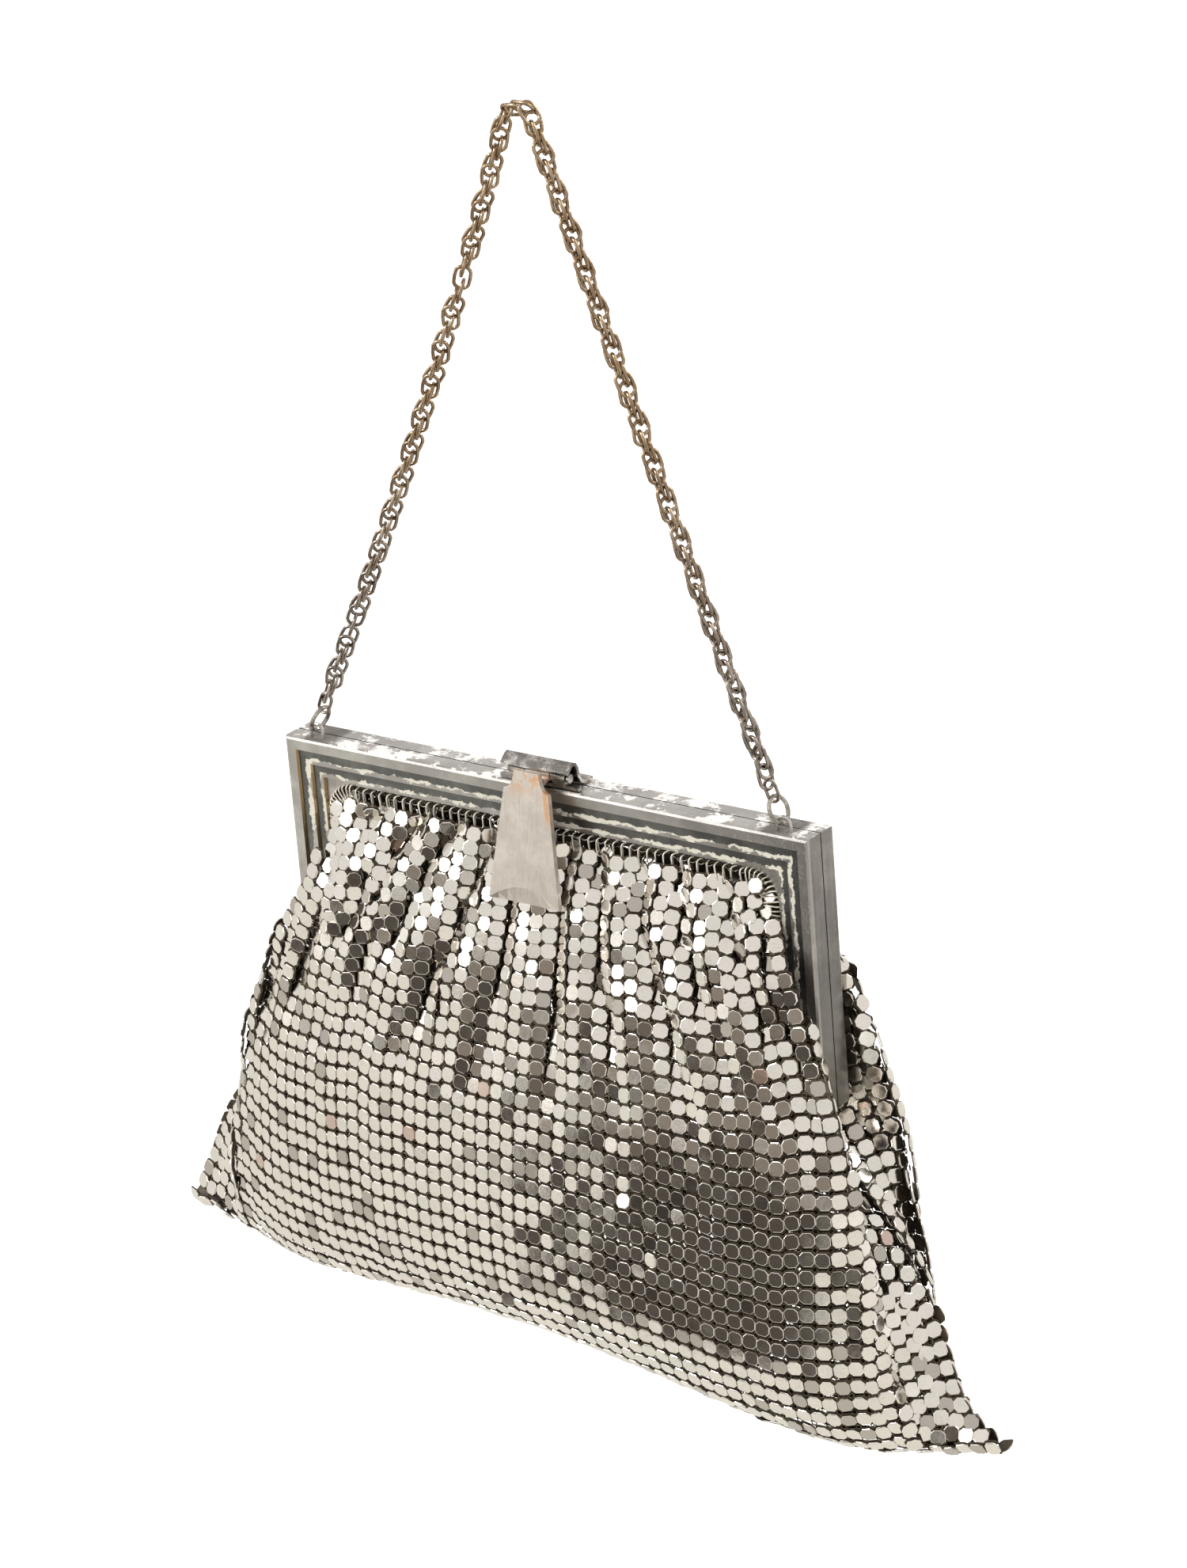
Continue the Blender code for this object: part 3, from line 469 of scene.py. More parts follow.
fitting_metal = plain_metal("fitting_silver", (0.55, 0.52, 0.49), (0.26, 0.24, 0.22), 0.30, size=3.0)
hood_metal = plain_metal("hood_silver", (0.56, 0.53, 0.50), (0.20, 0.185, 0.17), 0.18, size=3.0)
rail_metal = plain_metal("dark_wire", (0.10, 0.085, 0.065), (0.03, 0.025, 0.02), 0.5, size=3.0)
ring_metal = plain_metal("ring_silver", (0.62, 0.58, 0.52), (0.30, 0.27, 0.23), 0.26, size=4.0)
dress(fitting_metal, "hinge_left", "hinge_right", "clasp_base", "clasp_pin")
dress(hood_metal, "clasp_hood")
dress(rail_metal, "front_rail", "back_rail")
dress(ring_metal, "jump_ring_left", "jump_ring_right")


# Clasp tab: a splayed plate of brushed silver-plated brass with a thin crescent facet at
# its foot. It turns on the barrel, its neck has rusted orange and the rust follows one notch.
TAB_SATIN = ((0.69, 0.63, 0.57), (0.82, 0.76, 0.69))
TAB_MARKS = (0.32, 0.28, 0.24)
TAB_RUST = (0.50, 0.235, 0.07)
tab_low, tab_high = (Vector(corner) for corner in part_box("clasp_tab"))
tab_metal, tree, shader, stains, where = new_finish("tab_metal", 1.6)
x, _, z = axes_of(tree, where)
down = minus(tree, tab_high.z, z)
neck = minus(tree, 1.0, ramp(tree, down, 0.0005, 0.0075))
neck_rust = times(tree, neck, ramp(tree, noise(tree, where, 380.0, 6.0, 0.7), 0.47, 0.58))
from_notch = size_of(tree, minus(tree, x, scaled(tree, down, 0.165, 0.0044)))
notch_rust = times(tree, minus(tree, 1.0, ramp(tree, from_notch, 0.0002, 0.0011)),
                   minus(tree, 1.0, ramp(tree, down, 0.0085, 0.0125)))
rust = larger(tree, neck_rust, notch_rust)
brush = noise(tree, drawn_out(tree, where, (1.0, 0.05, 0.05)), 4200.0, 3.0, 0.7)
marks = larger(tree, times(tree, stains["Speck"], 0.42), times(tree, ramp(tree, brush, 0.45, 0.75), 0.38))
satin = mix_color(tree, marks, mix_color(tree, stains["Cloud"], *TAB_SATIN), TAB_MARKS)
link(tree, mix_color(tree, times(tree, rust, 0.8), satin, TAB_RUST), shader.inputs["Base Color"])
link(tree, scaled(tree, rust, -0.5, 0.95), shader.inputs["Metallic"])
link(tree, scaled(tree, stains["Scratch"], 0.10, 0.36), shader.inputs["Roughness"])
link(tree, bump(tree, stains["Scratch"], 0.25, 0.00005), shader.inputs["Normal"])
dress(tab_metal, "clasp_tab")


# Chain: oval links of antique brass wire in pairs, each pair slipped apart along the run so
# that it looks like a rope, the next pair passing through it at right angles. It runs from
# one end link over the top to the other. Two places on the left run hold one mended link.
CHAIN_WIRE = 0.00042
CHAIN_LINK_LENGTH = 0.0060
CHAIN_LINK_WIDTH = 0.0042
CHAIN_PITCH = 0.00424
CHAIN_SLIP = 0.26
CHAIN_BOWS = {-1: 0.0022, 1: 0.0004}
CHAIN_TOP_BEND = 0.0032
CHAIN_ROLL = math.radians(34)
CHAIN_DRIFT = 0.05
CHAIN_LEAN = 0.12
CHAIN_WOBBLE = 0.08
CHAIN_FACING = np.array((0.0, -0.1461, 0.0076))
CHAIN_REACH = 0.002
SINGLE_LINKS = (-10, -31)
WARM_BRASS = ((0.30, 0.205, 0.125), (0.45, 0.34, 0.23))
GREY_BRASS = ((0.24, 0.20, 0.17), (0.44, 0.39, 0.34))


def unit(vectors):
    return vectors / np.maximum(np.linalg.norm(vectors, axis=-1, keepdims=True), 1e-12)


def arc_lengths(points):
    steps = np.linalg.norm(np.diff(points, axis=0), axis=1)
    return np.concatenate(([0.0], np.cumsum(steps)))


def at_lengths(points, lengths, wanted):
    columns = [np.interp(wanted, lengths, column) for column in points.T]
    return np.stack(columns, axis=1)


def rounded(points, steps=12):
    """A smooth curve through a few points, as many closely spaced points."""
    ends = np.vstack((2 * points[0] - points[1], points, 2 * points[-1] - points[-2]))
    fine = [points[0]]
    for a, b, c, d in zip(ends, ends[1:], ends[2:], ends[3:]):
        for step in range(1, steps + 1):
            t = step / steps
            fine.append(0.5 * (2 * b + (c - a) * t + (2 * a - 5 * b + 4 * c - d) * t ** 2
                               + (3 * b - a - 3 * c + d) * t ** 3))
    return np.array(fine)


def copies(name, template, places, turns, finishes, tones=None, smooth=False):
    """One mesh of the template set at every place, each turned by its own three axes."""
    template.verts.ensure_lookup_table()
    shape = np.array([vert.co[:] for vert in template.verts])
    faces = [[vert.index for vert in face.verts] for face in template.faces]
    indices = [face.material_index for face in template.faces]
    template.free()
    points = np.einsum("vk,nkj->nvj", shape, turns) + places[:, None, :]
    count = len(shape)
    all_faces = [[corner + count * n for corner in face] for n in range(len(places)) for face in faces]
    mesh = bpy.data.meshes.new(name)
    mesh.from_pydata(points.reshape(-1, 3), [], all_faces)
    for finish in finishes:
        mesh.materials.append(finish)
    mesh.polygons.foreach_set("material_index", np.tile(indices, len(places)).astype(np.int32))
    if tones is not None:
        tone = mesh.attributes.new("tone", "FLOAT", "POINT")
        tone.data.foreach_set("value", np.repeat(tones, count).astype(np.float32))
    if smooth:
        mesh.shade_smooth()
    mesh.update()
    made = bpy.data.objects.new(name, mesh)
    scene.collection.objects.link(made)
    return made


def spun_wire(start, wire, around, sides):
    """A wire's section, stood where the start says and spun once round the Z axis."""
    bm = bmesh.new()
    made = bmesh.ops.create_circle(bm, segments=sides, radius=wire, matrix=start)
    edges = list(dict.fromkeys(edge for vert in made["verts"] for edge in vert.link_edges))
    bmesh.ops.spin(
        bm, geom=made["verts"] + edges, cent=(0, 0, 0), axis=(0, 0, 1), angle=2 * math.pi,
        steps=around, use_merge=True,
    )
    bmesh.ops.remove_doubles(bm, verts=bm.verts, dist=1e-7)
    bmesh.ops.recalc_face_normals(bm, faces=bm.faces)
    return bm


def wire_loop(half_length, half_width, wire, around, sides):
    """A closed wire: two half rounds, drawn out along X and joined by straights."""
    start = Matrix.Translation((0, half_width, 0)) @ Matrix.Rotation(math.pi / 2, 4, "Y")
    bm = spun_wire(start, wire, around, sides)
    longer = half_length - half_width
    for vert in bm.verts:
        ring = math.hypot(vert.co.x, vert.co.y)
        vert.co.x += longer * max(min(3 * vert.co.x / ring, 1), -1)
    return bm


chain_run = {}
for side, label in ((-1, "left"), (1, "right")):
    low, high = (np.array(corner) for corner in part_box("end_link_" + label))
    first = (low + high) / 2
    shoulder = np.array((side * CHAIN_TOP_BEND, 0, -0.45 * CHAIN_TOP_BEND))
    chain_run[side] = []
    for share in (0.0, 0.25, 0.5, 0.75, 0.93, 1.0):
        inward = -side * CHAIN_BOWS[side] * 4 * share * (1 - share)
        chain_run[side].append(first + (shoulder - first) * share + np.array((inward, 0, 0)))
route = rounded(np.array(chain_run[-1] + [np.zeros(3)] + chain_run[1][::-1]), 40)
route_lengths = arc_lengths(route)
link_count = int(round(route_lengths[-1] / CHAIN_PITCH)) - 1
link_steps = route_lengths[-1] / (link_count + 1) * (np.arange(link_count) + 1)
link_places = at_lengths(route, route_lengths, link_steps)
ahead = at_lengths(route, route_lengths, link_steps + CHAIN_REACH)
behind = at_lengths(route, route_lengths, link_steps - CHAIN_REACH)
along = unit(ahead - behind)
out_of_plane = unit(np.cross(along, np.cross(CHAIN_FACING, along)))
in_plane = np.cross(along, out_of_plane)
chain_rng = np.random.default_rng(3)
right_angles = (np.arange(link_count) % 2) * math.pi / 2
roll = CHAIN_ROLL + np.cumsum(chain_rng.normal(0, CHAIN_DRIFT, link_count)) + right_angles
wide = out_of_plane * np.cos(roll)[:, None] + in_plane * np.sin(roll)[:, None]
flat = np.cross(along, wide)
middle_link = int(np.argmin(np.linalg.norm(link_places, axis=1)))
chosen = []
turned = []
for index in range(link_count):
    single = index - middle_link in SINGLE_LINKS
    for offset in ((0.0,) if single else (-1.0, 1.0)):
        lean = chain_rng.normal(0, CHAIN_WOBBLE) + offset * CHAIN_LEAN
        slip = along[index] * offset * CHAIN_SLIP * CHAIN_PITCH
        chosen.append(link_places[index] + flat[index] * offset * CHAIN_WIRE * 1.08 + slip)
        axis = along[index] * math.cos(lean) + wide[index] * math.sin(lean)
        turned.append((axis, wide[index] * math.cos(lean) - along[index] * math.sin(lean), flat[index]))

brass, tree, shader, stains, where = new_finish("chain_brass", 2.5)
higher = ramp(tree, axes_of(tree, where)["Z"], -0.13, -0.06)
warm = mix_color(tree, stains["Cloud"], *WARM_BRASS)
grey = mix_color(tree, stains["Cloud"], *GREY_BRASS)
link(tree, mix_color(tree, higher, grey, warm), shader.inputs["Base Color"])
shader.inputs["Metallic"].default_value = 1.0
link(tree, scaled(tree, stains["Speck"], 0.2, 0.24), shader.inputs["Roughness"])
link(tree, bump(tree, stains["Speck"], 0.3, 0.00006), shader.inputs["Normal"])
dress(brass, "end_link_left", "end_link_right")
chain_links = copies(
    "chain_links",
    wire_loop(CHAIN_LINK_LENGTH / 2 - CHAIN_WIRE, CHAIN_LINK_WIDTH / 2 - CHAIN_WIRE, CHAIN_WIRE, 18, 7),
    np.array(chosen), np.array(turned), (brass,), smooth=True,
)
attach(chain_links, "purse")
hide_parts("chain")


# Rail rings: small open rings of silvered wire threaded on each rail, a few to a plate
# along the top and close as a coil round the corners and down the arms.
RAIL_INSET = 0.01061
RAIL_DEPTH = 0.00234
RAIL_END = 0.0280
RAIL_CORNER = 0.0062
RING_STEP = 0.0022
COIL_STEP = 0.00105
COIL_REACH = 0.75
RING_REACH = 0.0021
RING_HALF = 0.0011
RING_WIRE = 0.00019
RING_OVER_RAIL = 0.0005
RING_YAW = math.radians(24)
RING_TILT = 0.10


def rail_path(side):
    """From mid top to an arm's end: places, and ways into the opening at each."""
    across = FRAME_HALF - RAIL_INSET
    turn_x = across - RAIL_CORNER
    places = [(side * x, -RAIL_INSET) for x in np.linspace(0, turn_x, 30)]
    ways = [(0.0, -1.0)] * 30
    for step in range(1, 13):
        angle = math.pi / 2 * step / 12
        places.append((side * (turn_x + RAIL_CORNER * math.sin(angle)),
                       -RAIL_INSET - RAIL_CORNER * (1 - math.cos(angle))))
        ways.append((-side * math.sin(angle), -math.cos(angle)))
    for z in np.linspace(-RAIL_INSET - RAIL_CORNER, -RAIL_END, 12)[1:]:
        places.append((side * across, z))
        ways.append((-side * 1.0, 0.0))
    return np.array(places), np.array(ways), turn_x


ring_places = []
ring_turns = []
for depth in (-RAIL_DEPTH, RAIL_DEPTH):
    for side in (-1, 1):
        places, ways, straight = rail_path(side)
        lengths = arc_lengths(places)
        distances = list(np.arange(RING_STEP / 2, straight, RING_STEP))
        distances += list(np.arange(straight, lengths[-1], COIL_STEP))
        for distance in distances:
            x, z = at_lengths(places, lengths, np.array([distance]))[0]
            way = unit(at_lengths(ways, lengths, np.array([distance]))[0])
            reach = RING_REACH if distance < straight else RING_REACH * COIL_REACH
            down = np.array((way[0], 0.0, way[1]))
            along_rail = np.array((-way[1], 0.0, way[0]))
            yaw = RING_YAW + chain_rng.normal(0, 0.12)
            tilt = chain_rng.normal(RING_TILT, 0.06)
            depth_way = np.array((0.0, math.cos(yaw), 0.0)) + along_rail * math.sin(yaw)
            down = unit(down + along_rail * tilt)
            depth_way = unit(depth_way - down * np.dot(depth_way, down))
            hung_from = np.array((x, SEAM_Y + depth * 1.2, FRAME_TOP_Z + z))
            ring_places.append(hung_from + down * (reach - RING_OVER_RAIL))
            ring_turns.append((down, depth_way, np.cross(down, depth_way)))
# The rail rings' silver is lighter and less metallic than the jump rings': painted light that lifts them
# out of the shade of the rails' slots
rail_ring_painted_light = plain_metal(
    "rail_ring_silver_painted_light", (0.86, 0.81, 0.71), (0.56, 0.51, 0.43), 0.36, metallic=0.55, size=4.0,
)
rail_rings = copies(
    "rail_rings", wire_loop(RING_REACH, RING_HALF, RING_WIRE, 14, 4),
    np.array(ring_places), np.array(ring_turns), (rail_ring_painted_light,), smooth=True,
)
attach(rail_rings, "purse")


# Mesh pouch: about four thousand bevelled octagonal plates of silvered metal, each hooked
# by its four corners on small rings. They make one sheet that hangs from both rails, is
# gathered into pleats at the mouth and folded at the bottom.
COLUMN_PITCH = 0.00350
ROW_PITCH = 0.00373
PLATE_WIDTH = 0.00342
PLATE_HEIGHT = 0.00328
PLATE_CORNER = 0.00082
PLATE_THICKNESS = 0.00040
PLATE_BEVEL = 0.00016
PLATE_SCATTER = 0.00010
PLATE_SWAY = 0.035
LOOSE_PLATES = 0.06
LOOSE_SWAY = 3.5
PRONG_SHADE_SPREAD = 1.02
PRONG_SHADE_THICKNESS = 0.00012
PRONG_SHADE_CORNER = 0.00055
HOOK_RADIUS = 0.00062
HOOK_WIRE = 0.00015
HOOK_REACH = (0.0040, 0.0060)
HALF_COLUMNS = 33
TOP_COLUMNS = 22
COLUMN_STEP = 0.05
FIRST_ROW_DROP = 0.0039
POUCH_DROP = 0.1342
POUCH_HALF_WIDTH = 0.1170
POUCH_FRONT = 0.0250
POUCH_BACK = 0.0190
POUCH_TWIST = math.radians(2.0)
PLEAT_DEPTH = 0.0050
EAR_LIFTS = {1: 0.0125, -1: 0.0010}
POUCH_SLANT = math.radians(3.2)
POUCH_ARCH = 0.0070
ARCH_SHARE = 0.75
ARM_DROP = 0.0633
ARM_FACE = HALF_DEPTH + 0.0006
ARM_WIDTH = 0.0102
MOUTH_DROP = 0.01141
MOUTH_DEPTH = 0.00324
MOUTH_HALF = FRAME_HALF - MOUTH_DROP
CORNER_RADIUS = 0.0054
LEFT_ROUND = 0.0036

# Rows of the pouch's form: drop runs from 0 at the mouth to 1 at the frame's feet and 2 at
# the bottom fold; edge, side and back_edge from 0 at the mouth's ends to 1 at the ears;
# depths from 0 at the mouth to 1 at the full depth; wrap is 1 beside a frame arm; across
# and along are the shares of the pitches that columns and rows have, less where gathered.
POUCH_COLUMNS = (
    "drop", "edge", "edge_depth", "front", "side_left", "side_right", "back_edge",
    "back_edge_depth", "back", "wrap", "pleat", "lift", "across", "along",
)
POUCH_ROWS = (
    (0.00, 0.00, 0.00, 0.00, 0.00, 0.00, 0.00, 0.00, 0.00, 0.0, 0.0, 0.0, 0.76, 0.80),
    (0.05, 0.00, 0.00, 0.03, 0.00, 0.00, 0.00, 0.00, 0.03, 0.0, 0.0, 0.0, 0.76, 0.80),
    (0.12, 0.02, 0.03, 0.10, 0.00, 0.00, 0.00, 0.00, 0.12, 0.0, 0.0, 0.0, 0.76, 0.81),
    (0.26, 0.07, 0.11, 0.16, 0.00, 0.00, 0.05, 0.12, 0.19, 1.0, 0.0, 0.0, 0.76, 0.83),
    (0.45, 0.16, 0.18, 0.33, 0.00, 0.00, 0.18, 0.21, 0.39, 1.0, 0.0, 0.0, 0.80, 0.87),
    (0.69, 0.26, 0.24, 0.54, 0.00, 0.00, 0.27, 0.24, 0.60, 1.0, 0.0, 0.0, 0.89, 0.94),
    (1.00, 0.37, 0.34, 0.75, 0.00, 0.00, 0.36, 0.29, 0.77, 1.0, 0.0, 0.0, 0.98, 1.0),
    (1.10, 0.43, 0.45, 0.86, 0.16, 0.16, 0.39, 0.39, 0.87, 0.3, 0.1, 0.0, 1.0, 1.0),
    (1.27, 0.47, 0.54, 0.94, 0.42, 0.37, 0.41, 0.47, 0.96, 0.0, 0.4, 0.0, 1.0, 1.0),
    (1.46, 0.51, 0.58, 0.99, 0.66, 0.55, 0.44, 0.52, 1.00, 0.0, 0.7, 0.0, 1.0, 1.0),
    (1.64, 0.56, 0.58, 1.00, 0.81, 0.66, 0.45, 0.52, 0.98, 0.0, 0.8, 0.0, 1.0, 1.0),
    (1.78, 0.59, 0.54, 0.95, 0.88, 0.71, 0.45, 0.41, 0.83, 0.0, 0.7, 0.1, 1.0, 1.0),
    (1.88, 0.60, 0.47, 0.86, 0.94, 0.80, 0.45, 0.21, 0.55, 0.0, 0.5, 0.3, 1.0, 1.0),
    (1.95, 0.59, 0.40, 0.72, 0.98, 0.91, 0.44, -0.01, 0.17, 0.0, 0.2, 0.6, 1.0, 1.0),
    (1.99, 0.54, 0.34, 0.54, 1.00, 0.98, 0.42, -0.24, -0.30, 0.0, 0.0, 0.9, 1.0, 1.0),
    (2.00, 0.47, 0.27, 0.42, 1.00, 1.00, 0.40, -0.41, -0.49, 0.0, 0.0, 1.0, 1.0, 1.0),
)
# Pleats of each face and half, by the column where each starts at the mouth
PLEAT_COLUMNS = ("face", "half", "column", "size")
PLEATS = (
    ("front", -1, 1.8, 0.9), ("front", -1, 5.4, 1.1), ("front", -1, 9.2, 0.8),
    ("front", -1, 12.8, 1.2), ("front", -1, 17.2, 0.7),
    ("front", 1, 2.0, 1.1), ("front", 1, 5.6, 0.9), ("front", 1, 9.6, 1.2),
    ("front", 1, 13.2, 0.8), ("front", 1, 17.3, 1.1), ("front", 1, 20.6, 0.7),
    ("back", -1, 3.1, 1.0), ("back", -1, 7.2, 0.8), ("back", -1, 12.4, 1.2), ("back", -1, 17.7, 1.0),
    ("back", 1, 1.6, 0.9), ("back", 1, 6.3, 1.2), ("back", 1, 11.2, 0.9), ("back", 1, 15.9, 1.0),
    ("back", 1, 20.1, 0.7),
)
PLEAT_WIDTH = 0.80
PLEAT_DRIFTS = {-1: 0.85, 1: 0.40}


def row_outline(row, sign, front):
    """Half of one row's outline on one face: the panel to its fold, then on to the seam."""
    reach = POUCH_HALF_WIDTH - MOUTH_HALF
    below_mouth = (ARM_DROP - MOUTH_DROP) * min(row["drop"], 1.0)
    pulled = 0.0
    if below_mouth < CORNER_RADIUS:
        pulled = CORNER_RADIUS - math.sqrt(CORNER_RADIUS ** 2 - (CORNER_RADIUS - below_mouth) ** 2)
    mouth = MOUTH_HALF - pulled
    base = MOUTH_DEPTH + (ARM_FACE - MOUTH_DEPTH) * row["wrap"]
    side = row["side_right"] if sign > 0 else row["side_left"]
    gusset = mouth + side * reach
    full = {"front": -POUCH_FRONT, "edge_depth": -POUCH_FRONT,
            "back": POUCH_BACK, "back_edge_depth": POUCH_BACK}

    def depth(column):
        out = math.copysign(1.0, full[column])
        return out * (base + row[column] * (abs(full[column]) - base))

    middle = (depth("edge_depth") + depth("back_edge_depth")) / 2
    face = -1 if front else 1
    fold = mouth + (row["edge"] if front else row["back_edge"]) * reach
    mid_y = depth("front" if front else "back")
    fold_y = depth("edge_depth" if front else "back_edge_depth")
    near, far = 0.97, 0.72
    if front and sign < 0:
        turned_back = min(max(row["drop"] - 0.45, 0.0) / 0.55, 1.0) * min((2.0 - row["drop"]) / 0.25, 1.0)
        fold += LEFT_ROUND * turned_back
        fold_y += LEFT_ROUND * 1.3 * turned_back
        near -= 0.10 * turned_back
        far -= 0.22 * turned_back
    pleat = row["pleat"] * PLEAT_DEPTH
    share = 0.5 - 0.2 * row["pleat"]
    loose = np.array((fold + (gusset - fold) * share - pleat, fold_y * (1 - share) + middle * share))
    wrapped = np.array((mouth, face * ARM_FACE))
    turned = loose + (wrapped - loose) * row["wrap"]
    panel = np.array([(0, mid_y), (fold * 0.45, mid_y * near + fold_y * (1 - near)),
                      (fold * 0.80, mid_y * far + fold_y * (1 - far)), (fold, fold_y)])
    return rounded(panel), rounded(np.array([panel[-1], turned, (gusset, middle)]))


def pleats_of(row, sign, front):
    """Column and size of each pleat where it passes this row."""
    for values in PLEATS:
        pleat = dict(zip(PLEAT_COLUMNS, values))
        if pleat["half"] == sign and pleat["face"] == ("front" if front else "back"):
            yield pleat["column"] * (1 + PLEAT_DRIFTS[sign] * row["drop"]), pleat["size"]


def lay_columns(row, sign, front):
    """Where every column of one half passes a row, and how much of its width it has there."""
    panel, gusset = row_outline(row, sign, front)
    panel_lengths = arc_lengths(panel)
    gusset_lengths = arc_lengths(gusset)
    fine = np.arange(0, HALF_COLUMNS + 1, COLUMN_STEP)
    crowd = np.zeros(len(fine))
    for column, size in pleats_of(row, sign, front):
        crowd += size * np.exp(-((fine - column) / PLEAT_WIDTH) ** 2)
    gathered = crowd[fine < TOP_COLUMNS].sum() * COLUMN_STEP
    drawn = min((1 - row["across"]) * TOP_COLUMNS / max(gathered, 1e-6), 0.95)
    pitch = COLUMN_PITCH * np.clip(1 - drawn * crowd, 0.12, 1.0)
    spread = np.concatenate(([0.0], np.cumsum(pitch[:-1] * COLUMN_STEP)))
    on_panel = min(np.interp(panel_lengths[-1], spread, fine), HALF_COLUMNS - 1.0)
    tight = gusset_lengths[-1] / ((HALF_COLUMNS - on_panel) * COLUMN_PITCH)
    places = []
    room = []
    for index in range(HALF_COLUMNS):
        value = index + 0.5
        if value <= on_panel:
            x, y = at_lengths(panel, panel_lengths, np.array([np.interp(value, fine, spread)]))[0]
            deep = np.interp(value, fine, crowd)
            fold_in = math.sqrt(1 - min(max(1 - drawn * deep, 0.0), 1.0) ** 2)
            wave = deep * fold_in * COLUMN_PITCH * 0.9 - 0.25 * COLUMN_PITCH * drawn
            y += (1 if front else -1) * min(wave, COLUMN_PITCH)
            room.append(1.0)
        else:
            share = (value - on_panel) / (HALF_COLUMNS - on_panel)
            x, y = at_lengths(gusset, gusset_lengths, np.array([share * gusset_lengths[-1]]))[0]
            room.append(tight)
        places.append((x, y))
    return places, room, max(panel[-1][0], gusset[-1][0])


def hang(place, widest, row, sign):
    """A place in a row's outline, set at its height with the row's twist, slant and lift."""
    x, y = place
    sunk = row["drop"] / 2
    twist = -POUCH_TWIST * sunk ** 2
    x *= sign
    low = MOUTH_DROP + (ARM_DROP - MOUTH_DROP) * min(row["drop"], 1.0)
    low += (POUCH_DROP - ARM_DROP) * max(row["drop"] - 1.0, 0.0)
    share = abs(x) / widest
    arch = POUCH_ARCH * sunk ** 8 * max(1 - (share / ARCH_SHARE) ** 2, 0.0) ** 2
    rise = row["lift"] * EAR_LIFTS[sign] * share ** 5 + arch - x * math.tan(POUCH_SLANT) * sunk ** 3
    flat_x = x * math.cos(twist) - y * math.sin(twist)
    flat_y = x * math.sin(twist) + y * math.cos(twist)
    return np.array((flat_x, SEAM_Y + flat_y, FRAME_TOP_Z - low + rise))


# The sheet is laid on the pouch's form with its columns drawn into pleats at the mouth.
# After that, plates that stand too near or too far are moved to their true spacing.
laid = {}
for sign in (-1, 1):
    for front in (True, False):
        laid[sign, front] = [
            lay_columns(dict(zip(POUCH_COLUMNS, values)), sign, front) for values in POUCH_ROWS
        ]


def face_path(index, sign, front):
    """One column from the mouth to the fold: points, gathered length and room at each."""
    points = []
    for values, (places, room, widest) in zip(POUCH_ROWS, laid[sign, front]):
        row = dict(zip(POUCH_COLUMNS, values))
        points.append(np.append(hang(places[index], widest, row, sign), (row["along"], room[index])))
    fine = rounded(np.array(points), 10)
    steps = np.linalg.norm(np.diff(fine[:, :3], axis=0), axis=1) / fine[1:, 3]
    return fine, np.concatenate(([0.0], np.cumsum(steps)))


def rows_of(path, count, first):
    """Even rows down one column: places with the room they have."""
    fine, lengths = path
    wanted = first + (lengths[-1] - first - ROW_PITCH / 2) * np.arange(count) / (count - 1)
    return at_lengths(fine, lengths, wanted)


# A gusset holds every column only where it has room for them, else one in two, three or four
ROOM_SHARES = (0.62, 0.34, 0.20)
ROOM_BESIDE_ARM = 0.55
halves = [(index, -1) for index in range(HALF_COLUMNS - 1, -1, -1)]
halves += [(index, 1) for index in range(HALF_COLUMNS)]
counts = {}
for front in (True, False):
    middle = face_path(0, 1, front)[1][-1] - FIRST_ROW_DROP
    counts[front] = int(round(middle / ROW_PITCH))
ROWS = counts[True] + counts[False]
sheet = np.zeros((len(halves), ROWS, 3))
present = np.ones((len(halves), ROWS), dtype=bool)
for number, (index, sign) in enumerate(halves):
    front_rows = rows_of(face_path(index, sign, True), counts[True], FIRST_ROW_DROP)
    back_rows = rows_of(face_path(index, sign, False), counts[False], FIRST_ROW_DROP)[::-1]
    both = np.vstack((front_rows, back_rows))
    sheet[number] = both[:, :3]
    height = both[:, 2]
    room = both[:, 4]
    start_z = FRAME_TOP_Z
    if index >= TOP_COLUMNS:
        share = (index + 0.5 - TOP_COLUMNS) / (HALF_COLUMNS - TOP_COLUMNS)
        start_z -= MOUTH_DROP + share * (RAIL_END - MOUTH_DROP) + ROW_PITCH * 0.5
    spacing = np.select([room > enough for enough in ROOM_SHARES], [1, 2, 3], 4)
    fitting = (HALF_COLUMNS - 1 - index) % spacing == 0
    roomy = np.where(height < FRAME_TOP_Z - ARM_DROP * 0.95, fitting, room > ROOM_BESIDE_ARM)
    if sign < 0:
        # The left gusset starts only low on its arm
        roomy &= (room > 0.999) | (height < FRAME_TOP_Z - ARM_DROP * 0.70)
    present[number] = roomy & (height < start_z)
for _ in range(2):
    # A plate hooked to fewer than two others would hang loose
    edged = np.pad(present, 1)
    hooked = edged[2:, 1:-1].astype(int) + edged[:-2, 1:-1] + edged[1:-1, 2:] + edged[1:-1, :-2]
    present &= (hooked >= 2) | (sheet[:, :, 2] < FRAME_TOP_Z - ARM_DROP)

rng = np.random.default_rng(7)
on_front = np.arange(ROWS) < counts[True]
outward = np.where(on_front, -1.0, 1.0)
sheet += rng.normal(0, PLATE_SCATTER, sheet.shape)
home = sheet.copy()


def neighbours(points, axis, step, least, most):
    """How far each pair of plates a step apart is to move to stand least to most apart."""
    ahead = [slice(None)] * 2
    behind = [slice(None)] * 2
    ahead[axis] = slice(step, None)
    behind[axis] = slice(None, -step)
    ahead, behind = tuple(ahead), tuple(behind)
    gap = points[ahead] - points[behind]
    length = np.linalg.norm(gap, axis=2, keepdims=True)
    both = present[ahead] & present[behind]
    if step == 2:
        between = [slice(None)] * 2
        between[axis] = slice(1, -1)
        both = both & present[tuple(between)]
    moved = gap * (np.clip(length, least, most) / np.maximum(length, 1e-9) - 1) * both[:, :, None]
    return ahead, behind, moved


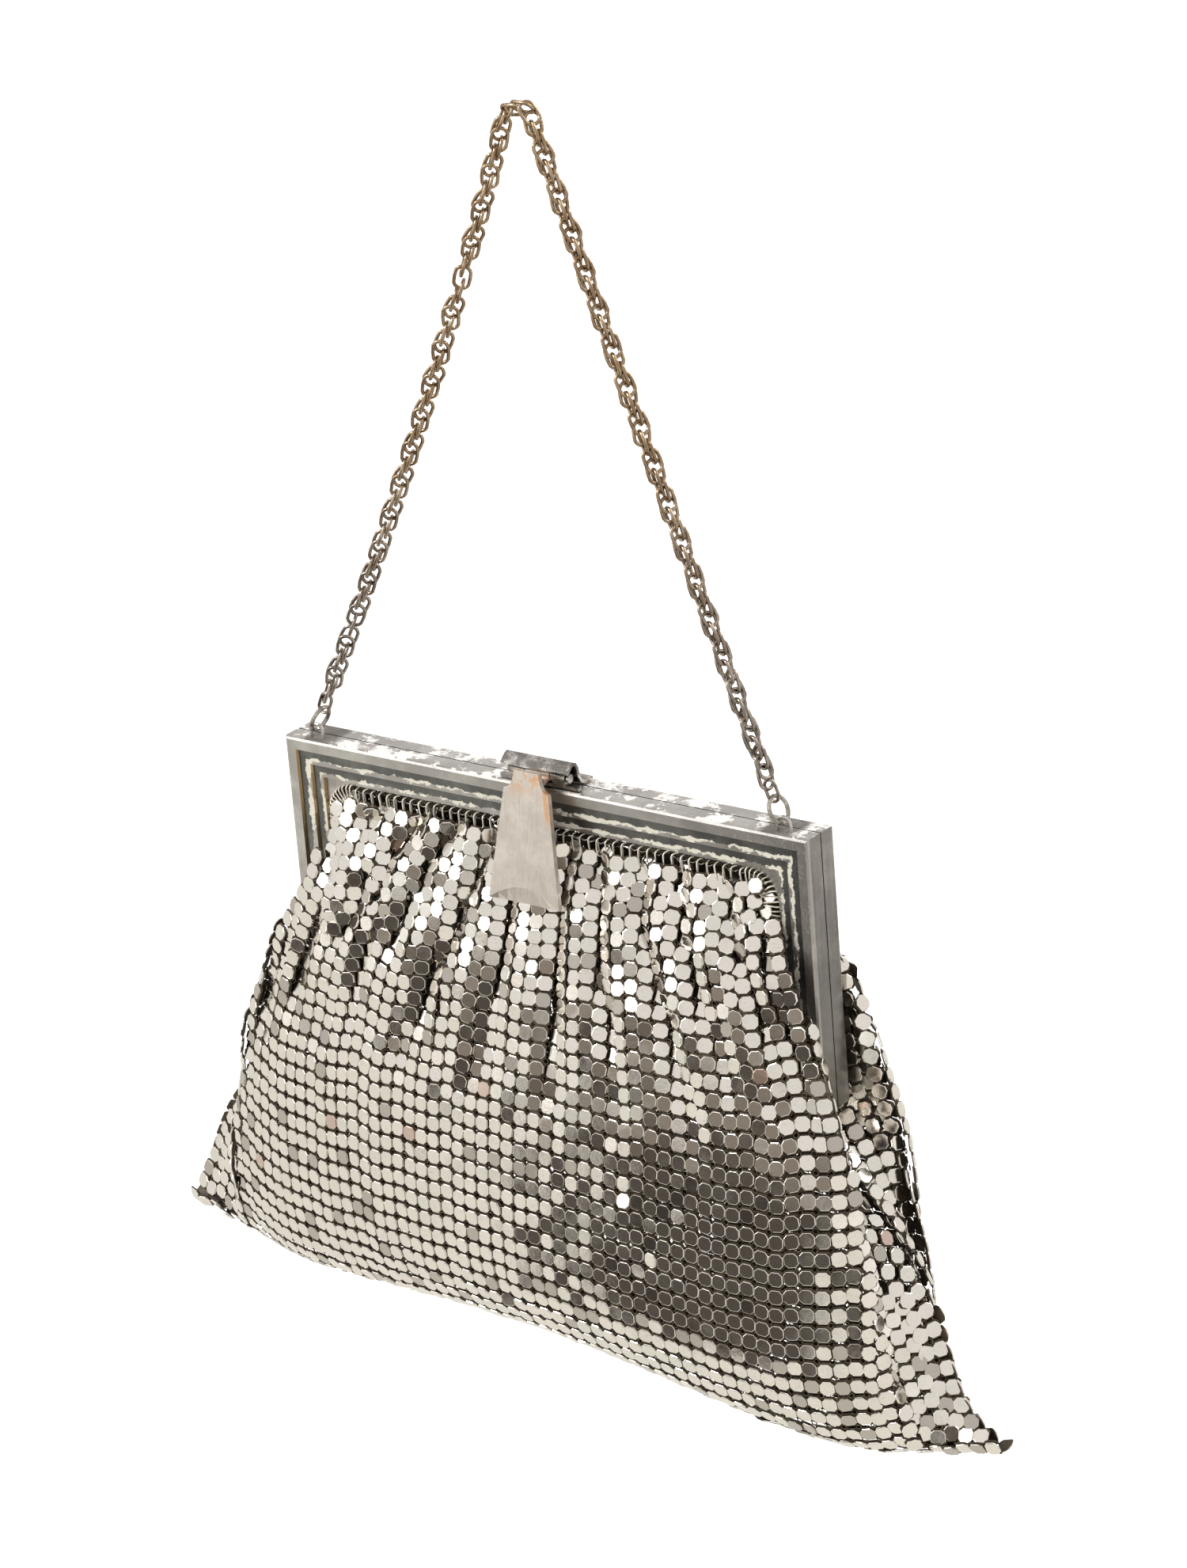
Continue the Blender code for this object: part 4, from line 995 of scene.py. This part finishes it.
# How near and how far plates may stand: axis (0 across, 1 down), steps apart, least, most
PLATE_SPACINGS = (
    (0, 1, 0.00336, 0.00366), (1, 1, 0.00306, 0.00380),
    (0, 2, 0.00420, 0.00732), (1, 2, 0.00590, 0.00760),
)
SETTLING_ROUNDS = 120
HOME_PULL = 0.03
FAR_PULL = 0.4
FAR_FROM_HOME = 0.0018
FACES_APART = 0.0006
TAB_CLEAR_HALF = 0.0112
TAB_FORWARD = 0.0071
TAB_RISE = 0.0043
TAB_SLOPE = math.tan(math.radians(9.0))


def clear_of_metal(points):
    """Plates pushed out of the frame's arms, of the other face and of the clasp's tab."""
    x = np.abs(points[:, :, 0])
    z = points[:, :, 2]
    deep = outward[None, :] * (points[:, :, 1] - SEAM_Y)
    wraps = outward[None, :] * (home[:, :, 1] - SEAM_Y) > ARM_FACE
    beside = (x > FRAME_HALF - ARM_WIDTH) & (x < FRAME_HALF + 0.0010) & wraps
    beside &= z > FRAME_TOP_Z - ARM_DROP - 0.0008
    deep = np.where(beside, np.maximum(deep, HALF_DEPTH + 0.0010), deep)
    deep = np.where(np.abs(z - FRAME_TOP_Z) < 0.10, np.maximum(deep, FACES_APART), deep)
    y = SEAM_Y + outward[None, :] * deep
    under_tab = (x < TAB_CLEAR_HALF) & (z > tab_low.z - 0.0015) & on_front[None, :]
    tab_back = SEAM_Y - TAB_FORWARD - (FRAME_TOP_Z + TAB_RISE - z) * TAB_SLOPE + 0.0012
    points[:, :, 1] = np.where(under_tab, np.maximum(y, tab_back), y)


def settled(points):
    """The sheet after its plates have been moved to their true spacing, round by round."""
    for _ in range(SETTLING_ROUNDS):
        total = np.zeros_like(points)
        for spacing in PLATE_SPACINGS:
            ahead, behind, shift = neighbours(points, *spacing)
            total[ahead] += shift * 0.25
            total[behind] -= shift * 0.25
        points = points + total
        drift = home - points
        away = np.linalg.norm(drift, axis=2, keepdims=True)
        far = np.clip((away - FAR_FROM_HOME) / np.maximum(away, 1e-9), 0.0, 1.0)
        points = points + drift * (HOME_PULL + FAR_PULL * far)
        for row in (0, -1):
            points[:, row, ::2] = home[:, row, ::2]
        clear_of_metal(points)
    return points


sheet = settled(sheet)


def slopes(points, reach):
    """Ways across and down the sheet at every plate, taken a few plates to each side."""
    padded = np.pad(points, ((reach, reach), (reach, reach), (0, 0)), mode="reflect", reflect_type="odd")
    return (padded[2 * reach:, reach:-reach] - padded[:-2 * reach, reach:-reach],
            padded[reach:-reach, 2 * reach:] - padded[reach:-reach, :-2 * reach])


across, down_sheet = slopes(sheet, 1)
wide_across, wide_down = slopes(home, 3)
edged = np.pad(present, ((1, 1), (0, 0)), constant_values=True)
alone = ~(edged[2:] & edged[:-2])[:, :, None]
across = np.where(alone, wide_across, across)
down_sheet = np.where(alone, wide_down, down_sheet)
outward_normal = unit(np.cross(down_sheet, across))


def plate_template():
    """One octagonal plate: a bevelled face and its rim, and behind it its folded prong layer, drawn as a
    dark sheet as wide as the pitch that also paints shade into the gaps between plates.
    """
    bm = bmesh.new()
    bmesh.ops.create_grid(bm, x_segments=1, y_segments=1, size=1.0)
    bmesh.ops.scale(bm, verts=bm.verts, vec=(PLATE_WIDTH / 2, PLATE_HEIGHT / 2, 1))
    bmesh.ops.bevel(
        bm, geom=list(bm.verts), offset=PLATE_CORNER, affect="VERTICES", segments=1,
        profile=0.5, material=-1,
    )
    grown = bmesh.ops.extrude_face_region(bm, geom=list(bm.faces))["geom"]
    top = [item for item in grown if isinstance(item, bmesh.types.BMFace)]
    bmesh.ops.translate(bm, verts=[v for f in top for v in f.verts], vec=(0, 0, PLATE_THICKNESS))
    bmesh.ops.bevel(
        bm, geom=[edge for f in top for edge in f.edges], offset=PLATE_BEVEL, affect="EDGES",
        segments=2, profile=0.5, material=-1,
    )
    bmesh.ops.recalc_face_normals(bm, faces=bm.faces)
    # Its underside takes the dark back finish: painted shade on the plates' backs
    for face in bm.faces:
        face.material_index = 1 if face.normal.z < -0.5 else 0
    plate_faces = set(bm.faces)
    prong_shade_verts = bmesh.ops.create_cube(bm, size=1.0)["verts"]
    spread = (COLUMN_PITCH * PRONG_SHADE_SPREAD, ROW_PITCH * PRONG_SHADE_SPREAD, PRONG_SHADE_THICKNESS)
    bmesh.ops.scale(bm, verts=prong_shade_verts, vec=spread)
    bmesh.ops.translate(bm, verts=prong_shade_verts, vec=(0, 0, -PRONG_SHADE_THICKNESS / 2 - 0.00012))
    prong_shade_edges = [edge for vert in prong_shade_verts for edge in vert.link_edges
                   if abs(edge.verts[0].co.z - edge.verts[1].co.z) > PRONG_SHADE_THICKNESS / 2]
    bmesh.ops.bevel(
        bm, geom=list(dict.fromkeys(prong_shade_edges)), offset=PRONG_SHADE_CORNER, affect="EDGES", segments=1,
        profile=0.5, material=-1,
    )
    # The prong layer takes the dark back finish too: painted shade between the plates
    for face in bm.faces:
        if face not in plate_faces:
            face.material_index = 1
    return bm


PLATE_SILVER = ((0.83, 0.775, 0.71), (0.75, 0.725, 0.66))
PLATE_DIM = (0.50, 0.46, 0.41)
PLATE_COPPER = (0.62, 0.49, 0.42)
PLATE_MARKS = (0.30, 0.27, 0.23)
plate_metal, tree, shader, stains, where = new_finish("plate_metal", 1.0)
tone = tree.nodes.new("ShaderNodeAttribute")
tone.attribute_name = "tone"
clean = mix_color(tree, stains["Cloud"], *PLATE_SILVER)
dim = mix_color(tree, math_node(tree, "LESS_THAN", tone.outputs["Fac"], 0.10), clean, PLATE_DIM)
bared = math_node(tree, "GREATER_THAN", tone.outputs["Fac"], 0.994)
copper = mix_color(tree, bared, dim, PLATE_COPPER)
marks = larger(tree, times(tree, stains["Speck"], 0.40), times(tree, stains["Scratch"], 0.26))
link(tree, mix_color(tree, marks, copper, PLATE_MARKS), shader.inputs["Base Color"])
shader.inputs["Metallic"].default_value = 1.0
rough = scaled(tree, stains["Cloud"], 0.08, 0.10)
link(tree, scaled(tree, stains["Speck"], 0.12, rough), shader.inputs["Roughness"])
link(tree, bump(tree, noise(tree, where, 900.0, 3.0, 0.6), 0.12, 0.00006), shader.inputs["Normal"])
# Dark brown for the backs of the plates and their prong layer: painted shade in the gaps between plates
# and on the pouch's inner side
plate_back_painted_shade = plain_metal(
    "plate_back_painted_shade", (0.135, 0.105, 0.070), (0.050, 0.038, 0.026), 0.60, metallic=0.6,
)
hook_metal = plain_metal("hook_metal", (0.30, 0.25, 0.18), (0.10, 0.08, 0.055), 0.35, size=3.0)


def square_turns(rights, normals):
    """Three axes at right angles for every copy: to its right, up, and outward."""
    rights = unit(rights - normals * np.sum(rights * normals, axis=1, keepdims=True))
    return np.stack((rights, np.cross(normals, rights), normals), axis=1)


def sheet_piece(name, chosen_rows):
    """Plates of one face of the sheet, each turned a little out of true."""
    there = present[:, chosen_rows]
    places = sheet[:, chosen_rows][there]
    normals = outward_normal[:, chosen_rows][there]
    rights = unit(across[:, chosen_rows][there])
    sway = rng.normal(0, PLATE_SWAY, normals.shape)
    sway[rng.random(len(normals)) < LOOSE_PLATES] *= LOOSE_SWAY
    turns = square_turns(rights, unit(normals + sway))
    tones = rng.random(len(places))
    return copies(name, plate_template(), places, turns, (plate_metal, plate_back_painted_shade), tones)


def four_cornered(values):
    """The sum of the four plates that meet at every corner."""
    return values[1:, 1:] + values[:-1, 1:] + values[1:, :-1] + values[:-1, :-1]


def ring_piece(name, first, last):
    """A ring under every corner where four plates meet."""
    part = sheet[:, first:last]
    normals = unit(four_cornered(outward_normal[:, first:last]))
    there = four_cornered(present[:, first:last].astype(int)) == 4
    one = np.linalg.norm(part[1:, 1:] - part[:-1, :-1], axis=2)
    other = np.linalg.norm(part[1:, :-1] - part[:-1, 1:], axis=2)
    there &= (np.minimum(one, other) > HOOK_REACH[0]) & (np.maximum(one, other) < HOOK_REACH[1])
    places = (four_cornered(part) / 4 + normals * 0.00010)[there]
    rights = unit(part[1:, 1:] - part[:-1, 1:])[there]
    start = Matrix.Translation((HOOK_RADIUS, 0, 0)) @ Matrix.Rotation(math.pi / 2, 4, "X")
    template = spun_wire(start, HOOK_WIRE, 7, 3)
    return copies(name, template, places, square_turns(rights, normals[there]), (hook_metal,), smooth=True)


middle_row = counts[True]
pouch_pieces = [
    sheet_piece("front_plates", slice(0, middle_row)),
    sheet_piece("back_plates", slice(middle_row, ROWS)),
    ring_piece("front_link_rings", 0, middle_row + 1),
    ring_piece("back_link_rings", middle_row, ROWS),
]
for piece in pouch_pieces:
    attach(piece, "purse")
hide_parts("mesh_pouch")
